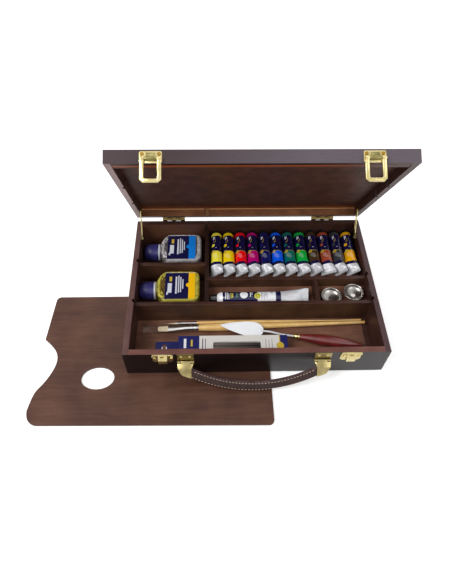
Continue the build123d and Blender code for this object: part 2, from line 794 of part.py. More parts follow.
def dipper(x, front_gap):
    """One cup standing a little behind the long divider."""
    outer, high, skin = dipper_radius, dipper_height, dipper_wall
    rim = skin * 0.7
    with BuildSketch(Plane.XZ) as half:
        with BuildLine():
            Line((0, 0), (dipper_foot_radius, 0))
            Spline((dipper_foot_radius, 0), (outer * 0.86, high * 0.42), (outer - rim, high - 2 * rim),
                   tangents=[(0.6, 0.5), (0.1, 1)])
            ThreePointArc((outer - rim, high - 2 * rim), (outer, high - rim), (outer - rim, high))
            Line((outer - rim, high), (outer - rim - skin, high - rim))
            Spline((outer - rim - skin, high - rim), (outer * 0.86 - skin, high * 0.52), (outer * 0.3, skin * 1.3),
                   (0, skin), tangents=[(-0.1, -1), (-1, 0)])
            Line((0, skin), (0, 0))
        make_face()
    return Pos(x, long_back + front_gap + outer, raised_top + rest_gap) * revolve(half.sketch, Axis.Z)


dipper_x = dipper_bay_left + dipper_side_gap + dipper_radius


# Brushes, drawn along +X from the tip of the bristles, then laid down


def turned_profile(points):
    """A solid of revolution about X from (x, radius) stations joined by a smooth curve."""
    with BuildSketch() as half:
        with BuildLine():
            Line((points[0][0], 0), points[0])
            Spline(*points)
            Line(points[-1], (points[-1][0], 0))
            Line((points[-1][0], 0), (points[0][0], 0))
        make_face()
    return revolve(half.sketch, Axis.X)


def bristles(width, thickness, length, tip, root, flat):
    """Fine square strands fused to a slice of their root, longest in the middle."""
    columns = int(width / strand_pitch)
    rows = int(thickness / strand_pitch)
    strands = []
    for column in range(columns):
        for row in range(rows):
            y = (column - (columns - 1) / 2) * strand_pitch
            z = (row - (rows - 1) / 2) * strand_pitch
            out = math.hypot(2 * y / width, 2 * z / thickness)
            if out > 0.98:
                continue
            start = tip + length * (0.08 if flat else 0.62) * out ** 2
            strands.append(block(start, root - 0.5, y - strand / 2, y + strand / 2, z - strand / 2, z + strand / 2))
    slice_face = Plane.YZ.offset(root - 1.0) * Ellipse(width / 2, thickness / 2)
    return extrude(slice_face, 1.0).fuse(*strands), len(strands)


def brush_place(left_gap, front_gap, radius, turn):
    return Pos(inner_left + left_gap, long_front - front_gap, floor_z + rest_gap + radius) * Rot(0, 0, turn)


round_place = brush_place(round_left_gap, round_front_gap, round_radius, round_turn)
round_wood_start = round_bristle + round_ferrule
round_handle = turned_profile([
    (round_wood_start, 2.3), (round_wood_start + 35, round_radius), (round_wood_start + 110, 3.0),
    (round_length, round_tip_radius)])
round_metal = turned_profile([
    (round_bristle, 1.7), (round_bristle + round_ferrule * 0.5, 2.2), (round_wood_start, 2.6)])
round_hair, round_strands = bristles(4.6, 4.6, round_bristle, 0, round_bristle, False)

flat_place = brush_place(flat_left_gap, flat_front_gap, flat_radius, flat_turn)
flat_wood_start = flat_bristle + flat_ferrule
flat_handle = turned_profile([
    (flat_wood_start, 5.0), (flat_wood_start + 28, flat_radius), (flat_wood_start + 90, 5.6),
    (flat_wood_start + 190, 3.6), (flat_length, 2.6)])


def flat_brush_ferrule():
    """A metal ferrule that goes from an oval mouth to a round socket with two crimps."""
    taper_end = flat_bristle + flat_ferrule * 0.62
    mouth = Plane.YZ.offset(flat_bristle) * Ellipse(flat_tip_width / 2 + 0.3, flat_tip_thickness / 2 + 0.3)
    shell = loft([mouth, Plane.YZ.offset(taper_end) * Circle(flat_socket_radius)])
    with BuildSketch() as half:
        with BuildLine():
            Polyline((taper_end, 0), (taper_end, flat_socket_radius), (flat_wood_start, flat_socket_radius),
                     (flat_wood_start, 0), close=True)
        make_face()
        with Locations(*[(flat_wood_start - back, flat_socket_radius) for back in flat_crimps]):
            Circle(crimp_ridge)
    return shell + revolve(half.sketch, Axis.X)


flat_hair, flat_strands = bristles(flat_tip_width, flat_tip_thickness, flat_bristle, 0, flat_bristle, True)


def brush_sleeve():
    """A clear protecting sleeve, flattened over bristles and ferrule."""
    start = -sleeve_overhang
    outer = RectangleRounded(flat_tip_width + 3.4, flat_tip_thickness + 3.4, 2.4)
    inner = RectangleRounded(flat_tip_width + 3.4 - 2 * sleeve_wall, flat_tip_thickness + 3.4 - 2 * sleeve_wall, 2.0)
    return extrude(Plane.YZ.offset(start) * (outer - inner), sleeve_length)


# Palette knife, drawn along +X from the tip of its blade with the handle's axis at z 0


def knife_blade():
    """A diamond blade, a cranked neck and the tang's collar."""
    half = blade_width / 2
    widest = blade_length * blade_widest
    with BuildSketch() as plan:
        with BuildLine():
            Spline((0, 0), (widest * 0.55, half * 0.72), (widest, half), tangents=[(1, 0.55), (1, 0)])
            Spline((widest, half), (blade_length, blade_root / 2), tangents=[(1, 0), (0.35, -1)])
            Line((blade_length, blade_root / 2), (blade_length, -blade_root / 2))
            Spline((blade_length, -blade_root / 2), (widest, -half), tangents=[(-0.35, -1), (-1, 0)])
            Spline((widest, -half), (widest * 0.55, -half * 0.72), (0, 0), tangents=[(-1, 0), (-1, 0.55)])
        make_face()
    blade = Pos(0, 0, knife_crank - blade_thickness / 2) * extrude(plan.sketch, blade_thickness)
    end = blade_length + neck_length
    route = FilletPolyline((blade_length - 4, 0, knife_crank + 0.6), (blade_length + 12, 0, knife_crank + 0.6),
                           (end - 20, 0, 0), (end, 0, 0), radius=8)
    neck = sweep(Plane(route @ 0, z_dir=route % 0) * Circle(neck_radius), route)
    return blade + neck


def knife_handle():
    start = blade_length + neck_length
    wood = turned_profile([
        (start + knife_ferrule, 4.4), (start + knife_ferrule + 40, knife_radius),
        (start + knife_ferrule + 78, 6.2), (knife_length, 2.4)])
    collar = turned_profile([(start, 2.8), (start + knife_ferrule * 0.4, 4.6), (start + knife_ferrule, 4.4)])
    return wood, collar


knife_place = (Pos(inner_left + knife_left_gap, long_front - knife_front_gap, floor_z + rest_gap + knife_radius)
               * Rot(0, 0, knife_turn) * Rot(knife_roll, 0, 0))


# Carton of drawing charcoal, lying on its back: a card box with a window and a hanging tab


def carton():
    x0 = inner_left + carton_left_gap
    y1 = long_front - carton_front_gap
    z0 = floor_z + rest_gap
    x1, y0, z1 = x0 + carton_length, y1 - carton_width, z0 + carton_height
    body = block(x0, x1, y0, y1, z0, z1)
    window_x = x0 + carton_length * 0.32
    window_y = (y0 + y1) / 2 - 1.5
    window = block(window_x, window_x + carton_window_length, window_y - carton_window_width / 2,
                   window_y + carton_window_width / 2, z1 - carton_window_depth, z1 + 1)
    body -= fillet(window.edges().filter_by(Axis.Z), 3.0)
    tab = block(x0 - carton_tab, x0 + 0.5, y0, y1 + 1.2, z0, z0 + carton_card)
    tab = fillet(tab.edges().filter_by(Axis.Z).group_by(Axis.X)[0], 3.0)
    slot = Pos(x0 - carton_tab * 0.62, (y0 + y1) / 2 + 8, z0) * extrude(
        Rot(0, 0, 90) * SlotOverall(16, 5), carton_card, both=True)
    body += tab - slot
    sticks = [rod((window_x + 0.5, window_y + dy, z1 - carton_window_depth + rest_gap + stick_radius), (1, 0, 0),
                  stick_radius, carton_window_length - 1) for dy in (-5.9, 0, 5.9)]
    return [body] + sticks


def main():
    os.makedirs("parts", exist_ok=True)

    stay_cuts_base = [stay_hole(side, stay_case) for side in (-1, 1)]
    stay_cuts_lid = [stay_hole(side, stay_shut_pivot) for side in (-1, 1)]
    front_cuts = [drill(p, (0, 1, 0)) for p in catch_points + handle_points]
    back_cuts = [drill(p, (0, -1, 0)) for p in base_leaf_points]
    lid_front_cuts = [drill(p, (0, 1, 0)) for p in plate_points]
    lid_back_cuts = [drill(p, (0, -1, 0)) for p in lid_leaf_points]

    write("base_front_board", base_front - front_cuts)
    write("base_back_board", base_back - back_cuts)
    write("base_left_board", base_left - stay_cuts_base[0])
    write("base_right_board", base_right - stay_cuts_base[1])
    write("base_bottom_panel", base_bottom)
    write("long_divider", long_divider)
    write("upright_divider", upright_divider)
    write("bottle_divider", bottle_divider)
    write("tray_divider", tray_divider)
    write("dipper_divider", dipper_divider)
    write("raised_floors", *raised_floors)
    write("base_hinge_leaves", *[leaf - back_cuts for leaf in base_leaves], *hinge_pins)
    write("latch_catches", *[catch(x) - front_cuts for x in latch_centres])
    write("handle_plates", *[handle_plate(s) - front_cuts for s in (-1, 1)], *[handle_pin(s) for s in (-1, 1)])
    base_screws = [screw(p, (0, 1, 0), under_head=brass) for p in catch_points + handle_points]
    base_screws += [screw(p, (0, -1, 0), under_head=brass) for p in base_leaf_points]
    base_screws += [stay_screw(side, stay_case) for side in (-1, 1)]
    write("base_screws", *base_screws)

    write("lid_front_board", open_lid(lid_front - lid_front_cuts))
    write("lid_back_board", open_lid(lid_back - lid_back_cuts))
    write("lid_left_board", open_lid(lid_left - stay_cuts_lid[0]))
    write("lid_right_board", open_lid(lid_right - stay_cuts_lid[1]))
    write("lid_panel", open_lid(lid_panel))
    write("lid_hinge_leaves", *[open_lid(leaf - lid_back_cuts) for leaf in lid_leaves])
    write("latch_plates", *[open_lid(latch_plate(x) - lid_front_cuts) for x in latch_centres],
          *[open_lid(latch_pin(x)) for x in latch_centres])
    lid_screws = [screw(p, (0, 1, 0), under_head=brass) for p in plate_points]
    lid_screws += [screw(p, (0, -1, 0), under_head=brass) for p in lid_leaf_points]
    lid_screws += [stay_screw(side, stay_shut_pivot) for side in (-1, 1)]
    write("lid_screws", *[open_lid(s) for s in lid_screws])
    write("latch_loop_left", open_lid(latch_loop(latch_centres[0])))
    write("latch_loop_right", open_lid(latch_loop(latch_centres[1])))
    write("lid_stay_left", stay(-1))
    write("lid_stay_right", stay(1))

    write("handle_grip", hang(grip(0, grip_half_span + grip_tuck)))
    write("handle_clasps", *[hang(clasp(side)) for side in (-1, 1)])
    write("palette", palette_board())

    for index in range(tube_count):
        write(f"paint_tube_{index + 1:02d}", *paint_tube(index))
    write("large_tube", large_tube)
    write("large_tube_cap", large_cap)
    write("clear_bottle", *bottle(clear_place))
    write("clear_bottle_cap", bottle_cap(clear_place))
    write("oil_bottle", *bottle(oil_place))
    write("oil_bottle_cap", bottle_cap(oil_place))
    write("dipper_left", dipper(dipper_x, dipper_left_front_gap))
    write("dipper_right", dipper(dipper_x + dipper_spacing, dipper_right_front_gap))

    write("round_brush_handle", round_place * round_handle)
    write("round_brush_ferrule", round_place * round_metal)
    write("round_brush_bristles", round_place * round_hair)
    write("flat_brush_handle", flat_place * flat_handle)
    write("flat_brush_ferrule", flat_place * flat_brush_ferrule())
    write("flat_brush_bristles", flat_place * flat_hair)
    write("flat_brush_sleeve", flat_place * brush_sleeve())
    write("knife_blade", knife_place * knife_blade())
    write("knife_handle", *[knife_place * piece for piece in knife_handle()])
    write("charcoal_carton", *carton())

    print("lid stay turn", round(stay_turn, 3), "strands", round_strands + flat_strands)
    print("stay pivot", stay_pivot, "case screw", stay_case)


main()
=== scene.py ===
# %% [markdown]
# # Dressing an oil paint case
#
# The case, its fittings and its contents come in as a fixed frame of plain solids. This lesson gives
# them their looks: stained wood, pressed brass, stitched leather, printed metal tubes, glass bottles
# with labels, brushes, a palette knife and a carton of charcoal. Nothing that the frame holds is
# moved. A solid whose shape is right keeps it and gets a finish, and the others get a fuller shape
# that stands in the same place.

# %% Load the frame
import json
import math
import random

import bmesh
import bpy
from mathutils import Matrix, Quaternion, Vector


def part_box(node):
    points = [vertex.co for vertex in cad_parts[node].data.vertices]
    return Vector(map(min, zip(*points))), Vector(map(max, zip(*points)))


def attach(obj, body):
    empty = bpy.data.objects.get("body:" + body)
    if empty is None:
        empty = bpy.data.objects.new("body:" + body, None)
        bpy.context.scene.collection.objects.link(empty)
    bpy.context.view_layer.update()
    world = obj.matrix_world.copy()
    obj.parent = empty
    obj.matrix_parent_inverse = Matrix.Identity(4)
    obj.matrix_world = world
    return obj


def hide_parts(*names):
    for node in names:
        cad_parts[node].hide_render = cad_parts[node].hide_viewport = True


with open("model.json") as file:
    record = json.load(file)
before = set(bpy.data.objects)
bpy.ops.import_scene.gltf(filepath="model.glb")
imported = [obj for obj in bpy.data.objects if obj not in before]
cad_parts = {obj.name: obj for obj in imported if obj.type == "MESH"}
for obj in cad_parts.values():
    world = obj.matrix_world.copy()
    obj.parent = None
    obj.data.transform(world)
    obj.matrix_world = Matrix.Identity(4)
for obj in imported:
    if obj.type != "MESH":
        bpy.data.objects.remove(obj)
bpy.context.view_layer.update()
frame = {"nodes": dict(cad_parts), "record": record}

mm = 0.001
scene = bpy.context.scene
nodes, record = frame["nodes"], frame["record"]
body_of = {name: body for body, members in record["behaviour"]["bodies"].items() for name in members}

# %% [markdown]
# ## The view
#
# The photograph was taken from above the front of the case, nearly in its middle, with the camera
# tipped steeply down. The place and the three turns come from the straight edges of the case. The
# camera looks along its own -Z, so the direction of view is turned into a rotation, and the small
# roll is added about that same axis.

# %% Camera
camera_place = Vector((-62.47, -489.0, 692.53)) * mm
camera_yaw, camera_pitch, camera_roll = map(math.radians, (2.245, 53.538, 1.234))
camera_lens = 29.93


def make_camera():
    """A camera with the long side of its picture 36 mm wide, as Blender's own default."""
    looking = Vector((math.sin(camera_yaw) * math.cos(camera_pitch),
                      math.cos(camera_yaw) * math.cos(camera_pitch), -math.sin(camera_pitch)))
    camera = bpy.data.objects.new("camera", bpy.data.cameras.new("camera"))
    camera.rotation_mode = "QUATERNION"
    camera.rotation_quaternion = looking.to_track_quat("-Z", "Y") @ Quaternion((0, 0, 1), camera_roll)
    camera.location = camera_place
    camera.data.lens = camera_lens
    camera.data.clip_start, camera.data.clip_end = 0.01, 20
    scene.collection.objects.link(camera)
    scene.camera = camera


make_camera()
scene.view_settings.view_transform = "Standard"
print("camera at", [round(v, 3) for v in camera_place])

# %% [markdown]
# ## Writing materials as short sentences
#
# A finish is a small graph of nodes. These helpers make a node, set its sockets by name and join it
# up, so that each finish below reads as a list of what it does. Colours are written as a designer
# picks them, from 0 to 255, and turned into the linear values that the renderer works in.

# %% Colours, nodes and sockets


def shade(red, green, blue):
    """A colour of the screen as linear red, green, blue and alpha."""
    def linear(value):
        value /= 255
        return value / 12.92 if value <= 0.04045 else ((value + 0.055) / 1.055) ** 2.4
    return (linear(red), linear(green), linear(blue), 1.0)


def toned(colour, share, add=0.0):
    """A colour times a share, with the same light added to each of its parts."""
    return [min(1.0, add + share * value) for value in colour[:3]] + [1]


def place_value(tree, socket, value):
    """Join a socket to another one, or set it to a plain value."""
    if isinstance(value, bpy.types.NodeSocket):
        tree.links.new(value, socket)
    else:
        socket.default_value = value


def surface(tree, made, **inputs):
    """Set or join a node's sockets, named with underscores for spaces."""
    for name, value in inputs.items():
        place_value(tree, made.inputs[name.replace("_", " ")], value)


def node(tree, kind, settings=None, values=(), **inputs):
    """One shader node with its settings, its first sockets in order, and others by name."""
    made = tree.nodes.new(kind)
    for name, value in (settings or {}).items():
        setattr(made, name, value)
    for socket, value in zip(made.inputs, values):
        place_value(tree, socket, value)
    surface(tree, made, **inputs)
    return made


print("a middle grey in linear light", round(shade(128, 128, 128)[0], 3))

# %% Numbers and vectors


def sums(tree, operation, *values):
    """A math node on one, two or three numbers."""
    return node(tree, "ShaderNodeMath", {"operation": operation}, values).outputs[0]


def times(tree, *pair):
    """Two numbers multiplied."""
    return sums(tree, "MULTIPLY", *pair)


def plus(tree, *pair):
    """Two numbers added."""
    return sums(tree, "ADD", *pair)


def vectors(tree, operation, *pair):
    """A vector math node on two vectors."""
    return node(tree, "ShaderNodeVectorMath", {"operation": operation}, pair).outputs


def split(tree, place):
    """The measures of a place along X, Y and Z."""
    return node(tree, "ShaderNodeSeparateXYZ", Vector=place).outputs


def spread(tree, value, low, high, new_low=0.0, new_high=1.0):
    """A number carried from one range to another, held at both ends."""
    return node(tree, "ShaderNodeMapRange", values=(value, low, high, new_low, new_high)).outputs["Result"]


# %% Patterns and blends


def noise(tree, place, scale, detail, **more):
    """A cloudy noise with so many waves in a millimetre."""
    return node(tree, "ShaderNodeTexNoise", Vector=place, Scale=scale, Detail=detail, **more).outputs["Fac"]


def mix(tree, share, first, second):
    """Two colours mixed by a share."""
    made = node(tree, "ShaderNodeMix", {"data_type": "RGBA"}, [share])
    for index, colour in ((6, first), (7, second)):
        place_value(tree, made.inputs[index], colour)
    return made.outputs[2]


def ramp(tree, value, stops, smooth=True):
    """A colour ramp through (place, colour) stops."""
    made = node(tree, "ShaderNodeValToRGB", Fac=value)
    made.color_ramp.interpolation = "LINEAR" if smooth else "CONSTANT"
    elements = made.color_ramp.elements
    while len(elements) < len(stops):
        elements.new(1.0)
    for element, (place, colour) in zip(elements, stops):
        element.position = place
    for element, (place, colour) in zip(elements, stops):
        element.color = colour
    return made.outputs["Color"]


def bump(tree, height, strength, distance):
    """A normal from a height, with the distance in millimetres."""
    return node(tree, "ShaderNodeBump", Strength=strength, Distance=distance * mm, Height=height).outputs["Normal"]


# %% Places and marks


def object_place(tree, centre=(0, 0, 0), turn=(0, 0, 0)):
    """Object coordinates in millimetres, measured from a centre and along turned axes."""
    coords = node(tree, "ShaderNodeTexCoord").outputs["Object"]
    moved = node(tree, "ShaderNodeMapping", {"vector_type": "TEXTURE"}, Vector=coords, Scale=(mm, mm, mm),
                 Location=[v * mm for v in centre], Rotation=[math.radians(v) for v in turn])
    return moved.outputs["Vector"]


def box_mask(tree, x, y, low, high):
    """One inside the rectangle between two corners, and nought outside."""
    return times(tree, *(sums(tree, "COMPARE", value, (start + stop) / 2, (stop - start) / 2)
                         for value, start, stop in zip((x, y), low, high)))


def disc_mask(tree, place, centre, radius):
    """One within a distance of a point, and nought outside."""
    return sums(tree, "LESS_THAN", vectors(tree, "DISTANCE", place, centre)["Value"], radius)


def printed(tree, colour, x, y, place, marks):
    """A colour with plain marks printed on it: boxes between two corners, and discs round a centre."""
    for kind, tone, *where in marks:
        mask = disc_mask(tree, place, *where) if kind == "disc" else box_mask(tree, x, y, *where)
        colour = mix(tree, mask, colour, tone)
    return colour


# %% Materials and groups


def new_material(name):
    """An empty material, its tree and its Principled shader."""
    material = bpy.data.materials.new(name)
    material.use_nodes = True
    return material, material.node_tree, material.node_tree.nodes["Principled BSDF"]


def new_group(name, takes, gives):
    """A shader node group with named inputs and outputs, the sockets that it takes and the node that gives."""
    group = bpy.data.node_groups.new(name, "ShaderNodeTree")
    for label, kind, start in takes:
        socket = group.interface.new_socket(label, in_out="INPUT", socket_type=f"NodeSocket{kind}")
        if start is not None:
            socket.default_value = start
    for label in gives:
        group.interface.new_socket(label, in_out="OUTPUT", socket_type="NodeSocketFloat")
    return group, node(group, "NodeGroupInput").outputs, node(group, "NodeGroupOutput")


def use(tree, group, **inputs):
    """A group placed in a material, with its own values."""
    return node(tree, "ShaderNodeGroup", {"node_tree": group}, **inputs).outputs


# %% [markdown]
# ## Effects that several finishes share
#
# Stained wood, varnished handles and raw brass all wear first at their edges and gather small
# scuffs. The edge mask compares the true normal with one that is rounded over half a millimetre:
# they differ only beside an edge. The wood grain is one noise stretched along the board, warped by
# a slower noise, with fine pores on top. Both are node groups, built once, so that every wood and
# every metal draws on the same two effects with its own values.

# %% Edge wear


def make_edge_group():
    """Where a surface bends sharply, partly broken up into patches."""
    group, takes, gives = new_group("edge_wear", [("Width", "Float", 0.6), ("Breakup", "Float", 0.5)], ["Edge"])
    rounded = node(group, "ShaderNodeBevel", {"samples": 4}, Radius=times(group, takes["Width"], mm))
    true = node(group, "ShaderNodeNewGeometry").outputs["Normal"]
    agree = vectors(group, "DOT_PRODUCT", rounded.outputs["Normal"], true)["Value"]
    edge = spread(group, agree, 0.995, 0.86)
    kept = times(group, edge, spread(group, noise(group, object_place(group), 0.18, 3.0), 0.35, 0.65))
    whole = times(group, edge, sums(group, "SUBTRACT", 1.0, takes["Breakup"]))
    surface(group, gives, Edge=plus(group, times(group, kept, takes["Breakup"]), whole))
    return group


edge_wear = make_edge_group()
print("group", edge_wear.name, "with", len(edge_wear.nodes), "nodes")

# %% Wood grain


def make_grain_group():
    """Figure and pores drawn out along X, and a slow cloud over both."""
    group, takes, gives = new_group("wood_grain", [("Vector", "Vector", None), ("Stretch", "Float", 14.0),
                                                   ("Size", "Float", 0.25)], ["Figure", "Pores", "Cloud"])
    squeeze = node(group, "ShaderNodeCombineXYZ", X=sums(group, "DIVIDE", 1.0, takes["Stretch"]), Y=1.0, Z=1.0)
    streak = vectors(group, "MULTIPLY", takes["Vector"], squeeze.outputs["Vector"])["Vector"]
    size = takes["Size"]
    figure = noise(group, streak, size, 5.0, Roughness=0.62, Distortion=0.9)
    pores = noise(group, streak, times(group, size, 9.0), 3.0, Roughness=0.7)
    cloud = noise(group, takes["Vector"], times(group, size, 0.12), 2.0)
    surface(group, gives, Figure=spread(group, figure, 0.3, 0.7), Pores=spread(group, pores, 0.56, 0.72),
            Cloud=spread(group, cloud, 0.35, 0.65))
    return group


wood_grain = make_grain_group()
print("group", wood_grain.name, "with", len(wood_grain.nodes), "nodes")

# %% [markdown]
# ## Stained wood
#
# The case is a close-grained hardwood under a dark walnut stain and a thin satin varnish. The stain
# sits deepest in the pores, and the varnish is thinnest on the edges, where a redder wood shows
# through. The grain runs along each board, so a board that runs front to back turns the pattern.
# The open lid's painted light changes at certain planes, so the planes that its boards reach are
# measured first. The tops of the front and side boards and the dividers' front faces take lighter
# copies of the stain as painted light, the back wall turns lighter towards its left end as painted
# light, and the upright's top takes a darker copy as painted shade.

# %% Directions and levels
lid_angle = 58.8
lid_turn = Matrix.Rotation(math.radians(-lid_angle), 3, "X")
front, up = Vector((0, -1, 0)), Vector((0, 0, 1))
lid_front, lid_down = lid_turn @ front, lid_turn @ -up
along_x, along_y, along_lid = (0, 0, 0), (0, 0, 90), (0, lid_angle, 90)


def reach(name, direction):
    """How far a solid reaches along a direction, in millimetres."""
    return max(vert.co.dot(direction) for vert in nodes[name].data.vertices) / mm


front_level, back_level = reach("lid_front_board", lid_front), reach("lid_back_board", lid_front)
panel_level, rim_level = -reach("lid_panel", lid_down), -reach("lid_front_board", lid_down)
print("the lid's boards stand from", round(back_level, 1), "to", round(front_level, 1), "mm along its front")

# %% How a stained board is made
stain_dark, stain_light, stain_edge = shade(44, 25, 21), shade(74, 47, 39), shade(118, 82, 74)
varnish_tint = (1.0, 0.9, 0.92, 1.0)


def wood(name, dark=stain_dark, light=stain_light, edge=stain_edge, turn=along_x, size=0.25, stretch=16.0,
         rough=0.42, coat=0.0, gloss=0.25, worn_share=0.4, relief=0.2, far=None, painted_light=None):
    """A stained board, from its darkest stain to its lightest, with its worn edge.

    Painted light may tint it along one side beyond a plane, and a painted reflection towards the right end.
    """
    material, tree, shader = new_material(name)
    whole = object_place(tree)
    grain = use(tree, wood_grain, Vector=object_place(tree, turn=turn), Size=size, Stretch=stretch)
    figure = plus(tree, times(tree, grain["Figure"], 0.55), times(tree, grain["Cloud"], 0.45))
    colour = mix(tree, figure, dark, light)
    # Painted light: the stain turns to another tone beyond a plane.
    if painted_light:
        tone, direction, start, full = painted_light
        across = vectors(tree, "DOT_PRODUCT", whole, direction)["Value"]
        colour = mix(tree, spread(tree, across, start, full), colour, tone)
    # Painted reflection: the stain drifts to a far tone towards the right end.
    if far:
        tone, start, full = far
        colour = mix(tree, spread(tree, split(tree, whole)["X"], start, full, 0.0, 0.9), colour, tone)
    colour = mix(tree, times(tree, grain["Pores"], 0.5), colour, toned(dark, 0.45))
    worn = use(tree, edge_wear, Width=0.7, Breakup=0.6)["Edge"]
    colour = mix(tree, times(tree, worn, worn_share), colour, edge)
    height = sums(tree, "SUBTRACT", times(tree, grain["Figure"], 0.2), grain["Pores"])
    surface(tree, shader, Base_Color=colour, Normal=bump(tree, height, relief, 0.04),
            Roughness=spread(tree, grain["Figure"], 0, 1, rough - 0.25 * relief, rough + 0.35 * relief),
            Specular_IOR_Level=gloss, Specular_Tint=varnish_tint, Coat_Weight=coat, Coat_Roughness=0.35)
    return material


# %% Woods of the case
case_wood = wood("case_wood")
case_wood_deep = wood("case_wood_front_to_back", turn=along_y)
front_wood = wood("front_wood", shade(12, 6, 6), shade(20, 10, 10), shade(70, 44, 40), size=0.12, rough=0.3,
                  coat=0.05, gloss=0.3, relief=0.0)
# Painted light: lighter copies of the stain for the board tops and the dividers' front faces, and a lighter left end of
# the back wall; painted shade: a darker copy for the upright's top.
front_rim_wood_painted_light = wood("front_rim_wood_painted_light", shade(92, 58, 52), shade(122, 82, 74), gloss=0.2)
side_rim_wood_painted_light = wood("side_rim_wood_painted_light", shade(82, 56, 54), shade(108, 80, 76), turn=along_y, gloss=0.2)
right_rim_wood_painted_light = wood("right_rim_wood_painted_light", shade(62, 44, 46), shade(82, 61, 63), turn=along_y, gloss=0.2)
inner_back_wood_painted_light = wood("inner_back_wood_painted_light", painted_light=(shade(96, 62, 46), (-1, 0, 0), 60, 100))
divider_face_wood_painted_light = wood("divider_face_wood_painted_light", shade(52, 32, 24), shade(94, 64, 46))
upright_top_wood_painted_shade = wood("upright_top_wood_painted_shade", shade(31, 20, 17), shade(52, 34, 29), turn=along_y)
divider_wood = wood("divider_wood", shade(44, 26, 24), shade(80, 52, 44), shade(132, 100, 96), worn_share=0.7)
floor_wood = wood("floor_wood", shade(84, 54, 42), shade(136, 96, 76), size=0.2, rough=0.5)
palette_wood = wood("palette_wood", shade(62, 38, 29), shade(96, 64, 50), shade(44, 26, 20), size=0.14,
                    stretch=10.0, rough=0.4, gloss=0.3)
print("materials, with the frame's own", len(bpy.data.materials))

# %% [markdown]
# ## Woods of the lid
# The open lid leans back into the light. Its rim and the lip behind it turn orange near the panel,
# its front board fades to grey at the right, its back board is pale below the panel, and the panel
# is warmer near the back board. The same stain under the same lamps would not show this, so these
# boards carry painted light beyond planes of the lid and a painted grey reflection towards the right
# end. The rim's face is darkened by painted shade, and the left rim and the back board's inner face
# are lighter copies of the stain as painted light. That keeps them all one kind of wood.

# %% Woods of the lid
board_thick, lip_deep = 9.0, 9.0


def behind(depth):
    """The level of a depth behind the lid's front, as it is measured towards the back."""
    return depth - front_level


lid_side_wood = wood("lid_side_wood", turn=along_lid)
# Painted reflection: the front drifts to grey towards the right end.
lid_front_wood_painted_sheen = wood("lid_front_wood_painted_sheen", shade(31, 13, 17), shade(44, 25, 29), size=0.12, rough=0.45, gloss=0.5,
                      far=(shade(88, 80, 88), -110, 60))
# Painted light: a lighter copy of the stain for the left board's rim face.
lid_rim_left_wood_painted_light = wood("lid_rim_left_wood_painted_light", shade(136, 110, 108), shade(176, 150, 148), turn=along_lid, gloss=0.2)
# Painted light: a lighter copy for the back board's inner face, with a pale painted band just below the panel.
back_wood_painted_light = wood("lid_back_wood_painted_light", shade(98, 58, 34), shade(150, 102, 68), shade(150, 104, 74), size=0.4,
                 painted_light=(shade(206, 156, 110), -lid_down, panel_level - 2.0, panel_level - 1.0))
# Painted shade and light: a dark rim face with an orange band of painted light at its back, and a painted grey
# reflection towards the right.
rim_wood_painted_shade_and_light = wood("rim_wood_painted_shade_and_light", shade(36, 16, 14), shade(48, 24, 20), gloss=0.1, worn_share=0.0,
                painted_light=(shade(178, 88, 36), -lid_front, behind(6.6), behind(7.8)), far=(shade(78, 58, 56), 60, 170))
# Painted light: the lip turns orange towards the front board, with a painted grey reflection towards the right.
lip_wood_painted_light = wood("lid_lip_wood_painted_light", shade(66, 36, 27), shade(98, 58, 42), gloss=0.1, worn_share=0.0,
                painted_light=(shade(166, 82, 36), -lid_front, behind(16.5), behind(board_thick)),
                far=(shade(84, 64, 62), 60, 170))
block_wood = wood("lid_block_wood", shade(122, 82, 50), shade(166, 118, 76), shade(176, 130, 88), size=0.4)
# Painted light: the panel turns warmer over its last 20 mm in front of the back board.
lid_panel_wood_painted_light = wood("lid_panel_wood_painted_light", shade(38, 19, 14), shade(92, 56, 43), size=0.45, stretch=12.0, rough=0.5,
                      gloss=0.2, painted_light=(shade(142, 74, 26), -lid_front, -back_level - 20.0, -back_level))
lid_top_wood = wood("lid_top_wood", shade(50, 28, 22), shade(84, 54, 44), size=0.14, stretch=14.0, gloss=0.3)
print("materials, with the lid's woods", len(bpy.data.materials))

# %% Woods of the tools
red_wood = wood("knife_wood", shade(80, 16, 16), shade(128, 38, 34), shade(150, 60, 44), size=0.7, stretch=20.0,
                rough=0.3, coat=1.0, gloss=0.5, worn_share=0.2)


def varnished_handle(name, tip_start=176.0, tip_full=183.0):
    """Pale brush wood under clear varnish, dipped darker at its far end."""
    material = wood(name, shade(212, 164, 90), shade(241, 205, 136), shade(232, 194, 126), size=0.5, stretch=30.0,
                    rough=0.25, coat=0.5, gloss=0.5, worn_share=0.1)
    tree = material.node_tree
    shader = tree.nodes["Principled BSDF"]
    colour = shader.inputs["Base Color"].links[0].from_socket
    tip = spread(tree, split(tree, object_place(tree))["X"], tip_start, tip_full)
    surface(tree, shader, Base_Color=mix(tree, tip, colour, shade(222, 170, 96)))
    return material


handle_wood = varnished_handle("handle_wood")
print("materials, with all the woods", len(bpy.data.materials))

# %% [markdown]
# ## Metals and plastics
#
# The fittings are pressed from sheet brass and polished: a pale gold with fine rolling marks and a
# slightly darker tone in soft clouds. The ferrules and dippers are white metals that mirror
# sharply. The blade is ground, so it scatters more light than it mirrors. The caps are moulded, and
# a moulding is never quite even in its tone and its gloss.

# %% Polished metals


